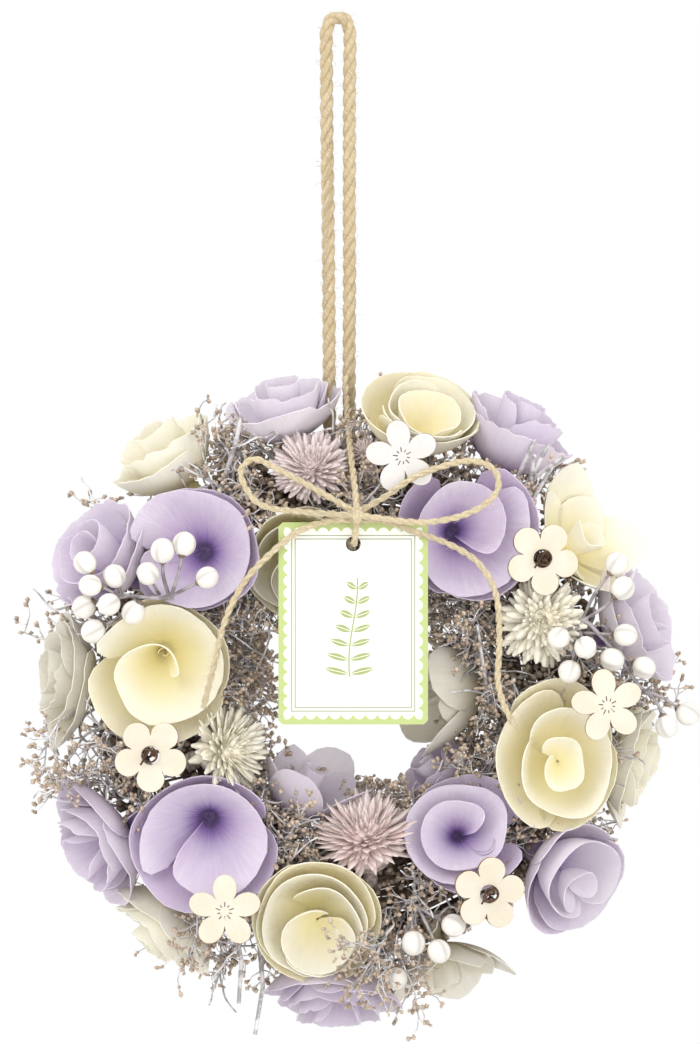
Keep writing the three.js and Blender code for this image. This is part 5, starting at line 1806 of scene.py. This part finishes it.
def build_floor():
    """A pale floor well under the hanging wreath."""
    half = FLOOR.half
    corners = ((-half, -half), (half, -half), (half, half), (-half, half))
    made = new_mesh("studio_floor", [(x, y, FLOOR.height) for x, y in corners], [], [(0, 1, 2, 3)])
    paper = Surface("floor_paper", 1.0)
    paper.put(paper.shader.inputs["Base Color"], (0.9, 0.9, 0.9, 1))
    made.materials.append(paper.made)
    return add_object("studio_floor", made)


def build_world(strength):
    """Even white room light, with a backdrop that the camera sees as pure white."""
    world = bpy.data.worlds.new("even_white")
    world.use_nodes = True
    w = Wiring(world.node_tree)
    background = world.node_tree.nodes["Background"]
    background.inputs["Color"].default_value = (1, 1, 1, 1)
    seen = w.add("ShaderNodeLightPath").outputs["Is Camera Ray"]
    w.put(background.inputs["Strength"], w.ramp(seen, 0, 1, strength, 1.0, smooth=False))
    return world


def add_light(name, at, target, size, power):
    data = bpy.data.lights.new(name, "AREA")
    data.size = size
    data.energy = power
    light = add_object(name, data)
    light.location = at
    light.rotation_euler = (Vector(target) - Vector(at)).to_track_quat("-Z", "Y").to_euler()


# Operators
class WREATH_OT_stage(bpy.types.Operator):
    """Set the camera at the photograph's angle, the soft lights and the pale backdrop"""
    bl_idname = "wreath.stage"
    bl_label = "Stage"

    def execute(self, context):
        settings = context.scene.wreath_stage
        data = bpy.data.cameras.new("camera")
        data.lens = settings.lens / MM
        data.clip_end = 20
        camera = add_object("camera", data)
        x = (IMAGE[0] / 2 - AIM.pixel_x) * settings.pixel
        z = (AIM.pixel_z - IMAGE[1] / 2) * settings.pixel
        away = IMAGE[1] * settings.pixel * settings.lens / SENSOR
        camera.location = (x, AIM.depth - away, z)
        camera.rotation_euler = (math.pi / 2, 0, 0)
        context.scene.camera = camera
        build_floor()
        middle = (x, 0, z)
        for name, at, size, share in LIGHTS:
            add_light(name, at or (x, FRONT_LIGHT, z), middle, size, settings.key * share)
        context.scene.world = build_world(settings.sky)
        context.scene.view_settings.view_transform = "Standard"
        return {"FINISHED"}


class WREATH_OT_cords(bpy.types.Operator):
    """Spin the rope loop, the bow, its tails, the tag string and the knot"""
    bl_idname = "wreath.cords"
    bl_label = "Rope and twine"

    def execute(self, context):
        settings = context.scene.wreath_cords
        jute = jute_surface("jute_rope", settings.jute)
        # The twine is a paler jute than the rope, partly as painted light against the deeper shade of its
        # thin plies
        pale = jute_surface("jute_twine", toward(settings.jute, srgb(252, 232, 184), 0.6))
        route = smooth_route(ROPE_ROUTE, ROUTE_STEPS)
        rope = build_cord("rope_loop", [route], "rope", settings.rope, settings.fuzz, jute)
        finish_piece(rope, "hanging_rope")
        twine = ("twine", settings.twine, settings.fuzz, pale)
        knot = build_cord("bow_knot", knot_wraps(), *twine, closed=True)
        finish_piece(knot, "twine_knot")
        loop = build_cord("tag_loop", [smooth_route(TAG_STRING, ROUTE_STEPS)], *twine)
        finish_piece(loop, "tag_string")
        for name, end, lay, points in TWINES:
            points = [metres(at) for at in points]
            route = smooth_route(points, ROUTE_STEPS)
            piece = build_cord(name + "_spun", [route], *twine)
            finish_piece(piece, name)
        return {"FINISHED"}


class WREATH_OT_ring(bpy.types.Operator):
    """Bind the twigs of the base ring"""
    bl_idname = "wreath.ring"
    bl_label = "Twig ring"

    def execute(self, context):
        settings = context.scene.wreath_ring
        bark = bark_surface("bark", settings.bark)
        finish_piece(build_ring(settings.twigs, bark), "base_ring")
        return {"FINISHED"}


class WREATH_OT_blooms(bpy.types.Operator):
    """Wind the wood-shaving blooms"""
    bl_idname = "wreath.blooms"
    bl_label = "Blooms"

    def execute(self, context):
        settings = context.scene.wreath_blooms
        surfaces = {}
        for tint, (deep, throat, *throat_depth) in DYES_AND_PAINTED_SHADES.items():
            colours_and_shades = [getattr(settings, tint), srgb(*deep), srgb(*throat)]
            surfaces[tint] = petal_surface(tint + "_shaving", *colours_and_shades, *throat_depth)
        for bloom in BLOOMS:
            finish_piece(build_bloom(bloom, settings.thickness, surfaces[bloom.tint]), bloom.name)
        return {"FINISHED"}


class WREATH_OT_heads(bpy.types.Operator):
    """Set the bracts of the dried heads"""
    bl_idname = "wreath.heads"
    bl_label = "Dried heads"

    def execute(self, context):
        settings = context.scene.wreath_heads
        surfaces, stalks = {}, {}
        for tint, root in HEAD_ROOTS.items():
            colour = getattr(settings, tint)
            surfaces[tint] = bract_surface(tint + "_paper", colour, root)
            stalks[tint] = stem_surface(tint + "_stalk", shade(colour, 0.95), 0.9)
        for head in HEADS:
            piece = build_head(head, settings.bracts, surfaces[head.tint], stalks[head.tint])
            finish_piece(piece, head.name)
        return {"FINISHED"}


class WREATH_OT_cutouts(bpy.types.Operator):
    """Cut the wooden flowers and bend their wires"""
    bl_idname = "wreath.cutouts"
    bl_label = "Wooden flowers"

    def execute(self, context):
        settings = context.scene.wreath_wood
        surfaces = {
            "pale_wood": wood_surface("bare_plywood", settings.plain),
            "white_wood": wood_surface("white_plywood", settings.white),
        }
        burnt = stem_surface("cut_edge", srgb(158, 122, 80), 0.7)
        brown = stem_surface("brown_wire", srgb(96, 66, 48), 0.45, 0.4)
        for row in CUTOUTS:
            slot = "white_wood" if row.name == "cutout_top" else "pale_wood"
            finish_piece(build_cutout(row, settings.thickness, surfaces[slot], burnt), row.name)
            wire = build_wire(row, settings.thickness, settings.wire, brown)
            finish_piece(wire, row.name + "_wire")
        return {"FINISHED"}


class WREATH_OT_berries(bpy.types.Operator):
    """Grow the berry sprays"""
    bl_idname = "wreath.berries"
    bl_label = "Berries"

    def execute(self, context):
        settings = context.scene.wreath_berries
        skin = berry_surface("berry_skin", settings.skin)
        husk = stem_surface("berry_husk", srgb(150, 132, 116), 0.9)
        bark = stem_surface("silvered_twig", srgb(176, 168, 170), 0.5, 0.2)
        berry = berry_template(skin, husk)
        for row in BERRY_SPRAYS:
            finish_piece(build_spray(row, settings.diameter, berry, bark), row[0])
        bpy.data.objects.remove(berry)
        return {"FINISHED"}


class WREATH_OT_filler(bpy.types.Operator):
    """Fill the gaps with dried sprays"""
    bl_idname = "wreath.filler"
    bl_label = "Dried filler"

    def execute(self, context):
        settings = context.scene.wreath_filler
        floret = floret_template(floret_surface("dry_floret", settings.dry))
        stems = stem_surface("silver_stem", settings.stem, 0.45, 0.1)
        clearance = Clearance()
        for row in FILLERS:
            piece = build_filler(row, settings, clearance, floret, stems)
            finish_piece(piece, row[0])
        bpy.data.objects.remove(floret)
        return {"FINISHED"}


class WREATH_OT_tag(bpy.types.Operator):
    """Print the card tag"""
    bl_idname = "wreath.tag"
    bl_label = "Card tag"

    def execute(self, context):
        settings = context.scene.wreath_tag
        card = card_surface("printed_card", settings.card, settings.print_green)
        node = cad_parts["card_tag"]
        node.data.materials.clear()
        node.data.materials.append(card)
        return {"FINISHED"}


class WREATH_PT_panel(bpy.types.Panel):
    """Buttons and sizes of the wreath"""
    bl_label = "Dried flower wreath"
    bl_idname = "WREATH_PT_panel"
    bl_space_type = "VIEW_3D"
    bl_region_type = "UI"
    bl_category = "Wreath"

    def draw(self, context):
        for operator, settings, _ in STEPS:
            box = self.layout.box()
            box.operator(operator.bl_idname)
            group = getattr(context.scene, settings)
            for name in group.bl_rna.properties.keys():
                if name not in ("rna_type", "name"):
                    box.prop(group, name)


STEPS = (
    (WREATH_OT_stage, "wreath_stage", StageSettings), (WREATH_OT_cords, "wreath_cords", CordSettings),
    (WREATH_OT_ring, "wreath_ring", RingSettings), (WREATH_OT_blooms, "wreath_blooms", BloomSettings),
    (WREATH_OT_heads, "wreath_heads", HeadSettings), (WREATH_OT_cutouts, "wreath_wood", WoodSettings),
    (WREATH_OT_berries, "wreath_berries", BerrySettings),
    (WREATH_OT_filler, "wreath_filler", FillerSettings), (WREATH_OT_tag, "wreath_tag", TagSettings),
)


def register():
    for operator, name, group in STEPS:
        bpy.utils.register_class(group)
        setattr(bpy.types.Scene, name, bpy.props.PointerProperty(type=group))
        bpy.utils.register_class(operator)
    bpy.utils.register_class(WREATH_PT_panel)


def unregister():
    bpy.utils.unregister_class(WREATH_PT_panel)
    for operator, name, group in reversed(STEPS):
        bpy.utils.unregister_class(operator)
        delattr(bpy.types.Scene, name)
        bpy.utils.unregister_class(group)


def main():
    register()
    for operator, _, _ in STEPS:
        group, name = operator.bl_idname.split(".")
        getattr(getattr(bpy.ops, group), name)()
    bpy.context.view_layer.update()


if __name__ == "__main__":
    main()
